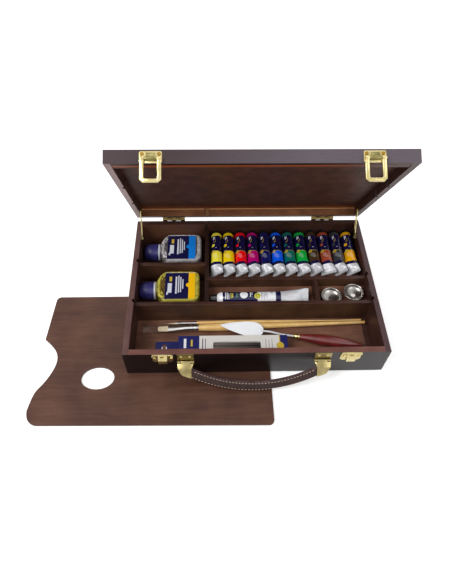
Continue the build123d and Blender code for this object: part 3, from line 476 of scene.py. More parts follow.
def metal(name, colour, dull, rough, brushed=0.15):
    """A polished metal with faint marks along X."""
    material, tree, shader = new_material(name)
    place = object_place(tree)
    marks = use(tree, wood_grain, Vector=place, Size=1.6, Stretch=25.0)
    clouds = noise(tree, place, 0.12, 4.0)
    worn = use(tree, edge_wear, Width=0.4, Breakup=0.3)["Edge"]
    tint = mix(tree, spread(tree, clouds, 0.35, 0.7, 0.0, 0.7), colour, dull)
    tint = mix(tree, times(tree, worn, 0.5), tint, toned(colour, 1.15))
    surface(tree, shader, Base_Color=tint, Metallic=1.0, Normal=bump(tree, marks["Figure"], brushed, 0.02),
            Roughness=spread(tree, clouds, 0.3, 0.7, rough * 0.75, rough * 1.3))
    return material


brass = metal("brass", shade(216, 202, 150), shade(176, 158, 98), 0.31, brushed=0.03)
# Painted shade: a darker copy of the brass for the handle's clasps and plates.
clasp_brass_painted_shade = metal("clasp_brass_painted_shade", shade(172, 158, 112), shade(124, 108, 66), 0.3, brushed=0.04)
screw_brass = metal("screw_brass", shade(176, 142, 64), shade(120, 92, 34), 0.3, brushed=0.04)
tab_brass = metal("tab_brass", shade(140, 132, 84), shade(116, 104, 60), 0.4, brushed=0.04)
# Painted shade: a darker copy of the brass for the hinge leaves.
brass_painted_shade = metal("brass_in_shade", shade(160, 140, 92), shade(96, 78, 44), 0.34)
steel = metal("bright_steel", shade(178, 174, 170), shade(130, 126, 122), 0.26, brushed=0.04)
ferrule_metal = metal("ferrule_metal", shade(226, 224, 220), shade(186, 184, 180), 0.2, brushed=0.1)
print("materials, with the polished metals", len(bpy.data.materials))

# %% Ground steel and moulded plastic


def ground_steel(name, colour, dull, rough):
    """A white metal that scatters more light than it mirrors."""
    material, tree, shader = new_material(name)
    clouds = noise(tree, object_place(tree), 0.03, 1.0)
    surface(tree, shader, Base_Color=mix(tree, spread(tree, clouds, 0.35, 0.65), colour, dull), Metallic=0.2,
            Roughness=spread(tree, clouds, 0.3, 0.7, rough * 0.95, rough * 1.05))
    return material


def plastic(name, dark, light, rough):
    """Moulded plastic, a little uneven in its tone and gloss."""
    material, tree, shader = new_material(name)
    swirl = noise(tree, object_place(tree), 0.3, 3.0)
    surface(tree, shader, Base_Color=mix(tree, swirl, dark, light), Normal=bump(tree, swirl, 0.1, 0.1),
            Roughness=spread(tree, swirl, 0.3, 0.7, rough * 0.9, rough * 1.1))
    return material


blade_steel = ground_steel("blade_steel", shade(234, 236, 239), shade(224, 226, 230), 0.42)
black_plastic = plastic("black_plastic", shade(12, 12, 15), shade(26, 26, 31), 0.32)
cap_blue = plastic("cap_blue", shade(40, 38, 94), shade(62, 58, 124), 0.36)
ring_grey = plastic("ring_grey", shade(186, 188, 196), shade(206, 208, 216), 0.4)
print("materials, with steel and plastics", len(bpy.data.materials))

# %% [markdown]
# ## Floor and light
#
# A white sweep takes the picture's place. It is bright only to the camera and in reflections, so it
# adds no light of its own to the case and still keeps the soft shadow. One broad lamp hangs above
# and to the left, a weaker one fills from the front right, and a third lights the back edges.

# %% Floor
floor_glow, world_light = 0.46, 0.42


def seen_rays(tree, *kinds):
    """One for the camera's rays and these further kinds, and nought for the rays that light things."""
    rays = node(tree, "ShaderNodeLightPath").outputs
    seen = rays["Is Camera Ray"]
    for kind in kinds:
        seen = sums(tree, "MAXIMUM", seen, rays[kind])
    return seen


def make_floor():
    """A wide pale floor, which is staging and no part of the case."""
    bm = bmesh.new()
    bmesh.ops.create_grid(bm, x_segments=1, y_segments=1, size=6.0)
    mesh = bpy.data.meshes.new("floor")
    bm.to_mesh(mesh)
    bm.free()
    floor = bpy.data.objects.new("floor", mesh)
    scene.collection.objects.link(floor)
    material, tree, shader = new_material("floor")
    surface(tree, shader, Base_Color=shade(236, 236, 236), Roughness=0.9, Emission_Color=shade(255, 255, 255),
            Emission_Strength=times(tree, seen_rays(tree, "Is Glossy Ray"), floor_glow))
    mesh.materials.append(material)


make_floor()

# %% World and lamps


def make_world():
    """A plain sky, dimmer as a light than it looks."""
    world = bpy.data.worlds.new("world")
    world.use_nodes = True
    tree = world.node_tree
    seen = seen_rays(tree, "Is Glossy Ray", "Is Transmission Ray")
    surface(tree, tree.nodes["Background"], Color=(1, 1, 1, 1),
            Strength=plus(tree, world_light, times(tree, seen, 1 - world_light)))
    scene.world = world


def make_lamp(name, place, target, size, power):
    """A round lamp of a size in metres, aimed at a target."""
    lamp = bpy.data.objects.new(name, bpy.data.lights.new(name, "AREA"))
    lamp.data.shape, lamp.data.size, lamp.data.energy = "DISK", size, power
    lamp.location = place
    lamp.rotation_euler = (Vector(target) - Vector(place)).to_track_quat("-Z", "Y").to_euler()
    scene.collection.objects.link(lamp)
    print(name, "lamp,", power, "W")


make_world()
make_lamp("key", (-1.2, -0.6, 1.6), (0, 0, 0.05), 1.1, 26)
make_lamp("fill", (1.2, -0.9, 1.2), (0, 0, 0.05), 1.4, 9)
make_lamp("back", (0.2, 1.3, 1.4), (0, 0, 0.1), 1.2, 10)

# %% [markdown]
# ## Giving solids a worked edge
#
# A solid from the drawing has edges as sharp as a razor, and no real board or pressing does. A copy
# of its mesh is merged, its flat faces are joined up again, and every sharp edge gets a small
# two-step bevel that catches the light. The copy stands for the solid it came from. Flat boards are
# shaded flat, so that no streak runs over them, while pressed brass is shaded smooth all over.

# %% Finishing a piece
flat_area, flat_turn = 40, math.radians(21)


def is_flat(face):
    """Whether a face is large, or turns sharply from every neighbour, so that its shading stays even."""
    return (face.calc_area() > flat_area * mm ** 2
            or all(edge.calc_face_angle(math.pi) > flat_turn for edge in face.edges))


def finish_piece(name, bm, body, material, stands_for=(), smooth=40, level=True):
    """Turn a bmesh into a piece with its materials that rides on a body, and hide the solids it stands for."""
    mesh = bpy.data.meshes.new(name)
    bmesh.ops.recalc_face_normals(bm, faces=bm.faces)
    rounded = [not (level and is_flat(face)) for face in bm.faces]
    bm.to_mesh(mesh)
    bm.free()
    mesh.set_sharp_from_angle(angle=math.radians(smooth))
    mesh.polygons.foreach_set("use_smooth", rounded)
    piece = bpy.data.objects.new(name, mesh)
    scene.collection.objects.link(piece)
    for one in material if isinstance(material, list) else [material]:
        mesh.materials.append(one)
    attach(piece, body)
    if stands_for:
        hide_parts(*stands_for)
    return piece


print("faces over", flat_area, "square mm are shaded flat")

# %% Bevelled copies


def merged_copy(name):
    """A solid's mesh with its loose triangles merged and its flat faces whole."""
    bm = bmesh.new()
    bm.from_mesh(nodes[name].data)
    bmesh.ops.remove_doubles(bm, verts=bm.verts, dist=0.002 * mm)
    bmesh.ops.dissolve_limit(bm, angle_limit=math.radians(1), verts=bm.verts, edges=bm.edges)
    return bm


def bevelled(name, width, material, sharp=35, marks=(), level=True):
    """A copy of a solid with its sharp edges rounded by a width, and marked faces in further materials."""
    bm = merged_copy(name)
    for face in bm.faces:
        face.normal_update()
        for slot, mark in enumerate(marks, start=1):
            if mark(face):
                face.material_index = slot
    edges = [edge for edge in bm.edges
             if len(edge.link_faces) == 2 and edge.calc_face_angle(0.0) > math.radians(sharp)]
    bmesh.ops.bevel(bm, geom=edges, offset=width * mm, segments=2, affect="EDGES", profile=0.5,
                    clamp_overlap=True, material=-1)
    return finish_piece(f"{name}_dressed", bm, body_of[name], material, [name], level=level)


def looks(direction):
    """A test for the faces that look along a direction."""
    return lambda face: face.normal.dot(direction) > 0.98


# %% Boards
# Marked faces take the copies of the stain with painted light, or painted shade on the upright's top.
bevelled("base_front_board", 0.5, [front_wood, front_rim_wood_painted_light], marks=[looks(up)])
bevelled("base_back_board", 0.5, [case_wood, inner_back_wood_painted_light], marks=[looks(front)])
for board in ("long_divider", "tray_divider", "bottle_divider"):
    bevelled(board, 0.4, [divider_wood, divider_face_wood_painted_light], marks=[looks(front)])
bevelled("upright_divider", 0.4, [case_wood_deep, upright_top_wood_painted_shade], marks=[looks(up)])
bevelled("dipper_divider", 0.4, case_wood_deep)
for board, rim in (("base_left_board", side_rim_wood_painted_light), ("base_right_board", right_rim_wood_painted_light)):
    bevelled(board, 0.5, [case_wood_deep, rim, front_wood], marks=[looks(up), looks(front)])
bevelled("lid_front_board", 0.5, [lid_front_wood_painted_sheen, rim_wood_painted_shade_and_light], marks=[looks(lid_down)])
bevelled("lid_back_board", 0.5, [case_wood, back_wood_painted_light], marks=[looks(lid_front)])
bevelled("lid_panel", 0.3, [lid_panel_wood_painted_light, lid_top_wood], marks=[looks(-lid_down)])
for board, rim in (("lid_left_board", lid_rim_left_wood_painted_light), ("lid_right_board", lid_side_wood)):
    bevelled(board, 0.5, [lid_side_wood, lid_front_wood_painted_sheen, rim], marks=[looks(lid_front), looks(lid_down)])

# %% [markdown]
# ## Small bars of wood
#
# A short upright block stands on the inside of the lid's back board, a lip runs along its front
# board, where it catches the light, and a thin batten lies at the right end of the front bay. Each
# is a cube drawn out to its size, along the open lid's own directions or the case's.

# %% Bars
lid_axes = Matrix((Vector((1, 0, 0)), lid_front, -lid_down)).transposed()
inner_face, back_face = front_level - board_thick, round(back_level, 1)
block_thick, block_sunk = 2.8, 0.2


def bar(name, body, middle, size, material, axes=Matrix.Identity(3)):
    """A bar with eased edges, from its middle and size along three directions, in millimetres."""
    bm = bmesh.new()
    bmesh.ops.create_cube(bm, size=1.0)
    for vert in bm.verts:
        vert.co = axes @ Vector([at + side * along for at, side, along in zip(middle, vert.co, size)]) * mm
    bmesh.ops.bevel(bm, geom=bm.edges, offset=0.4 * mm, segments=2, affect="EDGES", profile=0.5, material=-1)
    print(name, [round(v, 1) for v in size], "mm")
    return finish_piece(name, bm, body, material)


bar("lid_block", "lid", (-74.5, back_face + block_thick / 2 - block_sunk, (panel_level + rim_level) / 2 + 0.3),
    (6.0, block_thick, panel_level - rim_level - 1.0), block_wood, lid_axes)
bar("lid_lip", "lid", (0.0, inner_face - lip_deep / 2, rim_level + 2.8), (381.6, lip_deep, 4.0), lip_wood_painted_light, lid_axes)
bar("tray_batten", "case", (186.6, -84.7, 8.7), (8.6, 85.8, 1.4), divider_wood)

# %% [markdown]
# ## Fittings, and what keeps its solid
#
# A rigid solid that already has its real outline keeps it and only takes a finish. The pressed
# brass of the latches and clasps and the spun cups get a worked edge as the boards did. The tab in
# the middle of a latch plate is a duller, darker brass.

# %% Finishes on the solids


def dress(material, *names):
    """Give solids their finish."""
    for name in names:
        slots = nodes[name].data.materials
        slots.clear()
        slots.append(material)


dress(floor_wood, "base_bottom_panel", "raised_floors")
dress(palette_wood, "palette")
dress(brass, "lid_stay_left", "lid_stay_right", "base_screws")
dress(screw_brass, "lid_screws")
dress(clasp_brass_painted_shade, "handle_plates")
dress(brass_painted_shade, "base_hinge_leaves", "lid_hinge_leaves")
dress(handle_wood, "round_brush_handle", "flat_brush_handle")
dress(ferrule_metal, "round_brush_ferrule", "flat_brush_ferrule")
dress(blade_steel, "knife_blade")

# %% Latches, clasps and cups
plate_level, latch_centre, tab_half = front_level + 1.4, 140.5, 6.0


def on_tab(face):
    """Whether a face belongs to the tab in the middle of a latch plate."""
    place = face.calc_center_median() / mm
    return place.dot(lid_front) > plate_level and abs(abs(place.x) - latch_centre) < tab_half


bevelled("latch_catches", 0.3, brass, level=False)
for loop in ("latch_loop_left", "latch_loop_right"):
    bevelled(loop, 0.7, brass, sharp=60, level=False)
bevelled("latch_plates", 0.3, [brass, tab_brass], marks=[on_tab], level=False)
bevelled("handle_clasps", 0.3, clasp_brass_painted_shade, level=False)
for cup in ("dipper_left", "dipper_right"):
    bevelled(cup, 0.15, steel, sharp=60)

# %% [markdown]
# ## Skins drawn through rings
#
# Tubes, caps, the bottles' necks and the grip are skins through a row of rings. A ring starts as a
# circle, is extruded once for each station along the piece, and is then shaped there: its half
# width, half height, how square it is and how far it is turned. The two open ends are filled.

# %% Rings along a line
lay_back = Matrix.Rotation(math.radians(90), 4, "X")
lay_right = Matrix(((0, 0, 1, 0), (1, 0, 0, 0), (0, 1, 0, 0), (0, 0, 0, 1)))


def squared(angle, power):
    """A point of a unit ring: round at power 2 and squarer above it."""
    def pull(value):
        return math.copysign(abs(value) ** (2 / power), value)
    return Vector((pull(math.cos(angle)), pull(math.sin(angle)), 0))


def grown(bm, edges):
    """The new ring of vertices and edges that a ring of edges is extruded to."""
    made = bmesh.ops.extrude_edge_only(bm, edges=edges)["geom"]
    ring = [item for item in made if isinstance(item, bmesh.types.BMVert)]
    return ring, [item for item in made if isinstance(item, bmesh.types.BMEdge)
                  and all(vert in ring for vert in item.verts)]


def ringed(place, stations, sides=40, dent=None):
    """A closed skin through stations of (along, half width, half height, squareness, turn), in millimetres."""
    bm = bmesh.new()
    ring = bmesh.ops.create_circle(bm, segments=sides, radius=1, cap_ends=False)["verts"]
    edges = list(bm.edges)
    angles = {vert: 2 * math.pi * index / sides for index, vert in enumerate(ring)}
    for count, (along, wide, high, power, turn) in enumerate(stations):
        if count:
            old = {tuple(round(v, 9) for v in vert.co): angles[vert] for vert in ring}
            ring, edges = grown(bm, edges)
            angles.update({vert: old[tuple(round(v, 9) for v in vert.co)] for vert in ring})
        turned = Matrix.Rotation(math.radians(turn), 4, "Z")
        for vert in ring:
            point = squared(angles[vert], power)
            point = Vector((point.x * wide, point.y * high, 0)) * (1 + (dent(along, angles[vert]) if dent else 0.0))
            vert.co = place @ (turned @ point + Vector((0, 0, along))) * mm
    bmesh.ops.holes_fill(bm, edges=bm.edges, sides=0)
    return bm


def round_rows(rows):
    """Stations of round rings, from rows of (along, radius)."""
    return [(along, radius, radius, 2, 0) for along, radius in rows]


# %% [markdown]
# ## Paint tubes
#
# A paint tube is a thin aluminium barrel, printed before it is filled. Its open end is then pressed
# flat and folded over, and handling twists and creases it. The print is a row of plain bands round
# the barrel: the paint's colour at the shoulder, a dark label with a dot of the colour, a block of
# the colour under a gold line, another dark band and bare metal to the end. A ribbed cap closes the
# neck.

# %% Shape of a tube


def squeezed(place, radius, barrel, length, shoulder, neck, flat_half, twist, seed, depth=0.11, fold=3.4):
    """A tube from its neck to its folded end, with creases where it flattens."""
    rng = random.Random(seed)
    waves = [(rng.choice((2, 3, 5)), rng.uniform(0, 6.28), rng.uniform(0.4, 1.0)) for _ in range(3)]
    shoulder_end, taper_start, flat_start = shoulder + 0.5, barrel - 4, length - fold - 2
    stations = round_rows([(0, neck), (shoulder * 0.5, (neck + radius) / 2 + 0.3), (shoulder, radius - 0.4),
                           (shoulder_end, radius)])
    stations += round_rows([(shoulder_end + (taper_start - shoulder_end) * step / 6, radius) for step in range(1, 7)])
    for step in range(1, 19):
        share = step / 18
        stations.append((taper_start + (flat_start - taper_start) * share,
                         radius + (flat_half - radius) * share ** 1.6, radius + (1.2 - radius) * share ** 2.4,
                         2 + share, twist * min(1.0, share * 1.3)))
    stations += [(length - fold, flat_half, 0.8, 4, twist), (length - fold + 0.2, flat_half + 0.2, 1.6, 4, twist),
                 (length - 0.3, flat_half + 0.2, 1.6, 4, twist), (length, flat_half, 1.1, 4, twist)]

    def crease(along, angle):
        share = max(0.0, min(1.0, (along - taper_start + 6) / (flat_start - taper_start + 6)))
        folds = sum(gain * (abs(math.sin(count * angle / 2 + phase + share * 3)) - 0.6)
                    for count, phase, gain in waves)
        return math.sin(math.pi * share) * depth * folds
    return ringed(place, stations, sides=64, dent=crease)


def ribbed_cap(place, radius, length, ribs):
    """A tapered cap with ribs round it, from its open end to its domed top."""
    top, sides = radius * 0.86, ribs * 4

    def rib(along, angle):
        deep = 0.06 if 0.5 < along < length * 0.9 else 0.0
        return -deep * (round(angle * sides / (2 * math.pi)) % 4 in (0, 1))
    rows = [(0, radius), (0.6, radius), (length * 0.85, top), (length * 0.96, top * 0.94), (length, top * 0.84),
            (length, top * 0.3)]
    return ringed(place, round_rows(rows), sides=sides, dent=rib)


# %% Printed bands
navy, foil, gold, white_ink = shade(16, 16, 64), shade(206, 207, 211), shade(206, 176, 60), shade(236, 236, 240)
print_reach = 200.0


def printed_tube(name, centre, turn, bands, marks):
    """Bands of print by the distance from the shoulder, marks on them, and metal where the print ends."""
    material, tree, shader = new_material(name)
    place = object_place(tree, centre, turn)
    parts = split(tree, place)
    along = sums(tree, "DIVIDE", parts["Z"], print_reach)
    colour = ramp(tree, along, [(start / print_reach, tone) for start, tone in bands], smooth=False)
    colour = printed(tree, colour, parts["X"], parts["Z"], place, marks)
    bare = sums(tree, "GREATER_THAN", parts["Z"], bands[-1][0])
    folds = node(tree, "ShaderNodeTexVoronoi", {"feature": "F1"}, Vector=place, Scale=0.22).outputs["Distance"]
    height = times(tree, bare, plus(tree, noise(tree, place, 0.16, 3.0), times(tree, folds, 0.6)))
    surface(tree, shader, Base_Color=colour, Metallic=times(tree, bare, 0.15),
            Roughness=plus(tree, 0.16, times(tree, bare, 0.22)), Normal=bump(tree, height, 0.5, 1.6),
            Coat_Weight=sums(tree, "SUBTRACT", 0.3, times(tree, bare, 0.3)), Coat_Roughness=0.12)
    return material


# %% Twelve small tubes
tube_pitch, tube_radius, tube_barrel, tube_length, tube_flat_half = 21.4, 9.75, 66.0, 91.0, 13.0
tube_shoulder, tube_neck, tube_cap_radius, tube_cap_length, tube_cap_ribs = 1.6, 5.85, 6.5, 9.0, 12
tube_joint = [(-58.35 + tube_pitch * index, 118.5, 42.55) for index in range(12)]
tube_twists = [38, 44, 40, 43, 36, 42, 45, 39, 48, 24, 48, 41]
tube_paints = [shade(255, 240, 70), shade(255, 222, 8), shade(255, 8, 22), shade(196, 4, 120), shade(18, 24, 96),
               shade(0, 98, 255), shade(0, 110, 98), shade(4, 178, 66), shade(72, 48, 26), shade(168, 74, 48),
               shade(58, 62, 68), shade(255, 184, 12)]
label_lines = ((-7.0, -1.0), (-6.4, 0.6), (-7.2, 1.4), (-5.0, 2.6), (-3.0, 1.0))


def label_marks(paint):
    """A dot of the paint, plain bars where a label has its lines, a gold line and a gold disc."""
    def spot(across, along):
        return (across, math.sqrt(tube_radius ** 2 - across ** 2), along)
    bars = [("box", toned(paint, 0.65, 0.35), (low, 51.0 + step * 2.2), (high, 51.9 + step * 2.2))
            for step, (low, high) in enumerate(label_lines)]
    return bars + [("box", white_ink, (-6.0, 11.5), (-4.6, 18.5)), ("box", white_ink, (-3.9, 11.0), (-2.9, 16.5)),
                   ("box", gold, (-2.2, 17.0), (-1.6, 23.5)), ("box", gold, (-4.4, 21.5), (-3.8, 26.0)),
                   ("disc", paint, spot(-6.2, 31.0), 3.2), ("box", white_ink, (-2.6, 36.6), (0.2, 37.3)),
                   ("box", gold, (-10, 44.2), (10, 45.0)), ("disc", gold, spot(-6.4, 45.6), 3.4),
                   ("disc", paint, spot(-6.4, 45.6), 1.2)]


for index, (centre, paint) in enumerate(zip(tube_joint, tube_paints)):
    name, place = f"paint_tube_{index + 1:02d}", Matrix.Translation(centre) @ lay_back
    bands = [(0, paint), (8.5, navy), (44.7, paint), (68, navy), (74, foil)]
    tube_print = printed_tube(f"{name}_print", centre, (90, 0, 0), bands, label_marks(paint))
    tube = squeezed(place, tube_radius, tube_barrel, tube_length, tube_shoulder, tube_neck, tube_flat_half,
                    tube_twists[index], index)
    finish_piece(f"{name}_body", tube, name, tube_print, [name], smooth=50)
    cap = ribbed_cap(place @ Matrix.Rotation(math.pi, 4, "X"), tube_cap_radius, tube_cap_length, tube_cap_ribs)
    finish_piece(f"{name}_top", cap, name, black_plastic)
print("tubes", len(tube_joint))

# %% [markdown]
# ## The large tube
#
# One bigger tube lies along the case with its cap to the left. Its shoulder and a block near its
# end are white.

# %% Large tube
large_joint = (-58.9, -22.5, 43.1)
large_place = Matrix.Translation(large_joint) @ lay_right
large_low, large_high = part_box("large_tube")
large_length = round((large_high[0] - large_low[0]) / mm, 1)
large_radius, large_taper, large_shoulder, large_neck, large_flat_half = 10.3, 47, 5.0, 6.3, 15.3
lime, sage, pale_lime, slate = shade(222, 214, 60), shade(120, 160, 130), shade(214, 204, 72), shade(96, 100, 134)
large_bands = [(0, white_ink), (9, navy), (66.4, white_ink), (95.8, navy), (104, foil)]
large_marks = [("box", white_ink, (-7, 13.5), (6, 14.8)), ("box", white_ink, (-7, 16.2), (6, 17.5)),
               ("box", white_ink, (-7, 18.9), (3, 20.0)), ("box", lime, (-6, 22.5), (5, 23.6)),
               ("box", lime, (-5, 25.0), (3, 26.4)), ("box", sage, (-5, 31), (4, 32.0)),
               ("box", sage, (-4, 33.6), (3, 34.6)), ("disc", white_ink, (0, 10.3, 44), 6.6),
               ("box", white_ink, (-4, 54), (5, 55.4)), ("box", white_ink, (-1, 56.8), (5, 58)),
               ("disc", pale_lime, (-2.5, 10.0, 66.4), 5.4), ("disc", shade(120, 122, 50), (-2.5, 10.0, 66.4), 3.4),
               ("disc", pale_lime, (-2.5, 10.0, 66.4), 2.0), ("box", navy, (3, 88.5), (5.5, 91.5))]
large_marks += [("box", slate, (low, 72.5 + step * 2.2), (high, 73.3 + step * 2.2))
                for step, (low, high) in enumerate(((-7, 5), (-6, 4), (-7, 2), (-4, 5), (-6, 3)))]
large_print = printed_tube("large_tube_print", large_joint, (90, 0, 90), large_bands, large_marks)
large = squeezed(large_place, large_radius, large_length - large_taper, large_length, large_shoulder, large_neck,
                 large_flat_half, 40.0, 31, depth=0.03, fold=6.0)
finish_piece("large_tube_body", large, "large_tube", large_print, ["large_tube"], smooth=50)
large_cap = ribbed_cap(large_place @ Matrix.Rotation(math.pi, 4, "Y"), 7.0, 11.0, 16)
finish_piece("large_tube_top", large_cap, "large_tube_cap", black_plastic, ["large_tube_cap"])
print("large tube", large_length, "mm")

# %% [markdown]
# ## Bottles
#
# Two flat flasks of painting medium lie on their backs. Their glass is so thick that it shows as a
# pale border round what is in it, so the border and the thin middle are two finishes on one form.
# The form starts as a circle, is pulled to the flask's outline, drawn up to its thickness and
# rounded.

# %% The flask
flask_long, flask_half, flask_deep = 74.0, 31.0, 16.0
flask_shoulder, flask_neck, flask_round = 17.0, 11.0, 3.6


def flask(place, inset, border=0.0):
    """A flask's body from its outline, drawn in by an inset, with a border round its two flat faces."""
    bm = bmesh.new()
    ring = bmesh.ops.create_circle(bm, segments=96, radius=1, cap_ends=True)["verts"]
    half, end, neck = flask_half - inset, flask_long - inset, flask_neck / flask_half
    for index, vert in enumerate(ring):
        point = squared(2 * math.pi * (index + 0.5) / len(ring), 6.0)
        x = inset + (end - inset) * (0.5 + point.x / 2)
        share = min(1.0, max(0.0, (x - inset * 0.5) / flask_shoulder))
        wide = half * (neck + (1 - neck) * math.sin(share * math.pi / 2) ** 0.75)
        vert.co = Vector((x, point.y * wide, inset - flask_deep))
    made = bmesh.ops.extrude_face_region(bm, geom=bm.faces[:])["geom"]
    bmesh.ops.translate(bm, vec=(0, 0, 2 * (flask_deep - inset)),
                        verts=[item for item in made if isinstance(item, bmesh.types.BMVert)])
    bmesh.ops.recalc_face_normals(bm, faces=bm.faces)
    rims = [edge for face in bm.faces if len(face.verts) > 4 for edge in face.edges]
    bmesh.ops.bevel(bm, geom=rims, offset=flask_round - inset * 0.4, segments=4, affect="EDGES", profile=0.5,
                    clamp_overlap=True, material=-1)
    if border:
        flat = [face for face in bm.faces if len(face.verts) > 8]
        bmesh.ops.inset_region(bm, faces=flat, thickness=border, use_even_offset=True)
        for face in bm.faces:
            face.material_index = 0 if face in flat else 1
    bmesh.ops.transform(bm, matrix=Matrix.Scale(mm, 4) @ place, verts=bm.verts)
    return bm


def threaded_neck(place):
    """The neck under the cap, with a raised thread."""
    rows = [(1.0, flask_neck), (-1.5, flask_neck)] + [(-2.0 - step * 1.6, 10.2 + 0.8 * (step % 2)) for step in range(9)]
    return ringed(place, round_rows(rows), sides=48)


# %% [markdown]
# ## Thick glass
#
# Seen from above, the walls of a flask bend the light into dark lines that follow its outline. True
# refraction would need an inner wall, a fine mesh and many samples. Here the border's finish draws
# the lines itself, as nested bands of the flask's own outline, and lets through only a share of the
# light.

# %% Arcs in thick glass


def make_arc_group():
    """Nested bands that follow a flask's outline, strongest at its shoulder, as its thick walls bend the light."""
    group, takes, gives = new_group("glass_arcs", [("Place", "Vector", None), ("Wave", "Float", 0.5)], ["Arcs"])
    parts = split(group, takes["Place"])
    sides = [sums(group, "POWER", sums(group, "ABSOLUTE", sums(group, "DIVIDE", parts[axis], half)), 4.0)
             for axis, half in (("X", flask_long / 2), ("Y", flask_half))]
    level = sums(group, "POWER", plus(group, *sides), 0.25)
    turns = plus(group, times(group, level, 44.0), times(group, takes["Wave"], 9.0))
    shoulder = spread(group, parts["X"], -12.0, -24.0, 0.35, 1.0)
    surface(group, gives, Arcs=times(group, spread(group, sums(group, "SINE", turns), 0.1, 0.6), shoulder))
    return group


glass_arcs = make_arc_group()
print("group", glass_arcs.name, "with", len(glass_arcs.nodes), "nodes")

# %% Glass and liquid


def glass(name, colour, clear, arcs=None):
    """Glass letting a share of the light through and scattering the rest, with painted edge highlights and dark arcs.
    """
    material, tree, shader = new_material(name)
    place = object_place(tree)
    wave = noise(tree, place, 0.12, 3.0, Distortion=1.5)
    tone = mix(tree, spread(tree, wave, 0.35, 0.65), colour, toned(colour, 0.55))
    # Painted highlight: the glass is paler along its edges.
    rim = use(tree, edge_wear, Width=1.4, Breakup=0.3)["Edge"]
    tone = mix(tree, times(tree, rim, 0.7), tone, toned(colour, 0.6, 0.4))
    if arcs:
        centre, dark = arcs
        bands = use(tree, glass_arcs, Place=object_place(tree, centre), Wave=wave)["Arcs"]
        tone = mix(tree, times(tree, bands, 0.8), tone, dark)
    surface(tree, shader, Base_Color=tone, Roughness=0.03, Transmission_Weight=clear, IOR=1.45,
            Normal=bump(tree, wave, 0.2, 0.8))
    return material


glass_clear, liquid_clear = 0.9, 0.6
clear_middle = glass("clear_glass", shade(244, 246, 246), glass_clear)
oil_middle = glass("oil_glass", shade(246, 226, 140), glass_clear)
# Painted light: the clear liquid is tinted brown as a painted view of the wood seen through it.
clear_liquid = glass("clear_liquid", shade(176, 128, 100), liquid_clear)
oil_liquid = glass("oil_liquid", shade(214, 148, 48), liquid_clear)
print("glass lets", glass_clear, "of the light through and the liquid", liquid_clear)

# %% [markdown]
# ## Labels
#
# A label is a sheet of paper glued to the flat front. It could be one more band in the glass's
# finish, but paper has its own gloss and its own edge, so it is a thin sheet just above the glass.
# A coloured band with a half disc and plain bars take the place of its print.

# %% Labels
label_ink = shade(216, 218, 228)
label_bars = ((3.0, 2.6, -20, -14, label_ink), (4.5, 7.0, -16, 4, label_ink), (7.0, 4.4, 8, 18, gold),
              (17.5, 2.6, -18, 18, label_ink), (22.0, 1.8, -16, 20, label_ink), (25.5, 1.8, -15, 17, label_ink),
              (29.0, 1.8, -8, 12, label_ink))


def label_print(name, centre_y, band, start, split_x):
    """A dark paper label with a band and its half disc, plain bars for its lines and a pale back edge."""
    material, tree, shader = new_material(name)
    place = object_place(tree)
    parts = split(tree, place)
    x, y = parts["X"], parts["Y"]
    flat = node(tree, "ShaderNodeCombineXYZ", X=x, Y=y).outputs["Vector"]
    colour = mix(tree, sums(tree, "GREATER_THAN", x, split_x), navy, band)
    marks = [("disc", band, (split_x, centre_y, 0), 4.4)]
    marks += [("box", tone, (start + offset, centre_y + low), (start + offset + wide, centre_y + high))
              for offset, wide, low, high, tone in label_bars]
    colour = printed(tree, colour, x, y, flat, marks)
    colour = mix(tree, sums(tree, "GREATER_THAN", y, centre_y + 26.2), colour, shade(238, 238, 240))
    fibre = noise(tree, place, 1.2, 4.0)
    surface(tree, shader, Base_Color=colour, Roughness=spread(tree, fibre, 0.3, 0.7, 0.3, 0.4),
            Normal=bump(tree, fibre, 0.1, 0.05))
    return material


def label_sheet(start, stop, centre_y, top):
    """A label that lies on the flat front and bends a little over the flask's back edge."""
    half_wide, bend, thick = 28.6, 26.6, 0.12
    bm = bmesh.new()
    bmesh.ops.create_grid(bm, x_segments=8, y_segments=28, size=1)
    for vert in bm.verts:
        across = vert.co.y * half_wide
        over = max(0.0, across - bend)
        vert.co = Vector(((start + stop) / 2 + vert.co.x * (stop - start) / 2, centre_y + across - over * 0.1,
                          top + thick - over * over * 0.22)) * mm
    bmesh.ops.solidify(bm, geom=bm.faces, thickness=thick * mm)
    return bm


# %% [markdown]
# ## Two bottles from one function
#
# Both bottles are the same flask. One function places its glass, liquid, neck, label and cap by the
# boxes of the two solids that they stand for, and only the tones and three measures differ.

# %% Two bottles
dome_rows = [(4.4, 0.97), (5.0, 1.0), (19.0, 0.96), (25.0, 0.9), (27.6, 0.82), (28.7, 0.7), (29.0, 0.5), (29.0, 0.2)]
ring_rows = [(0.6, 0.94), (0.8, 0.97), (3.6, 0.97), (3.8, 0.94)]


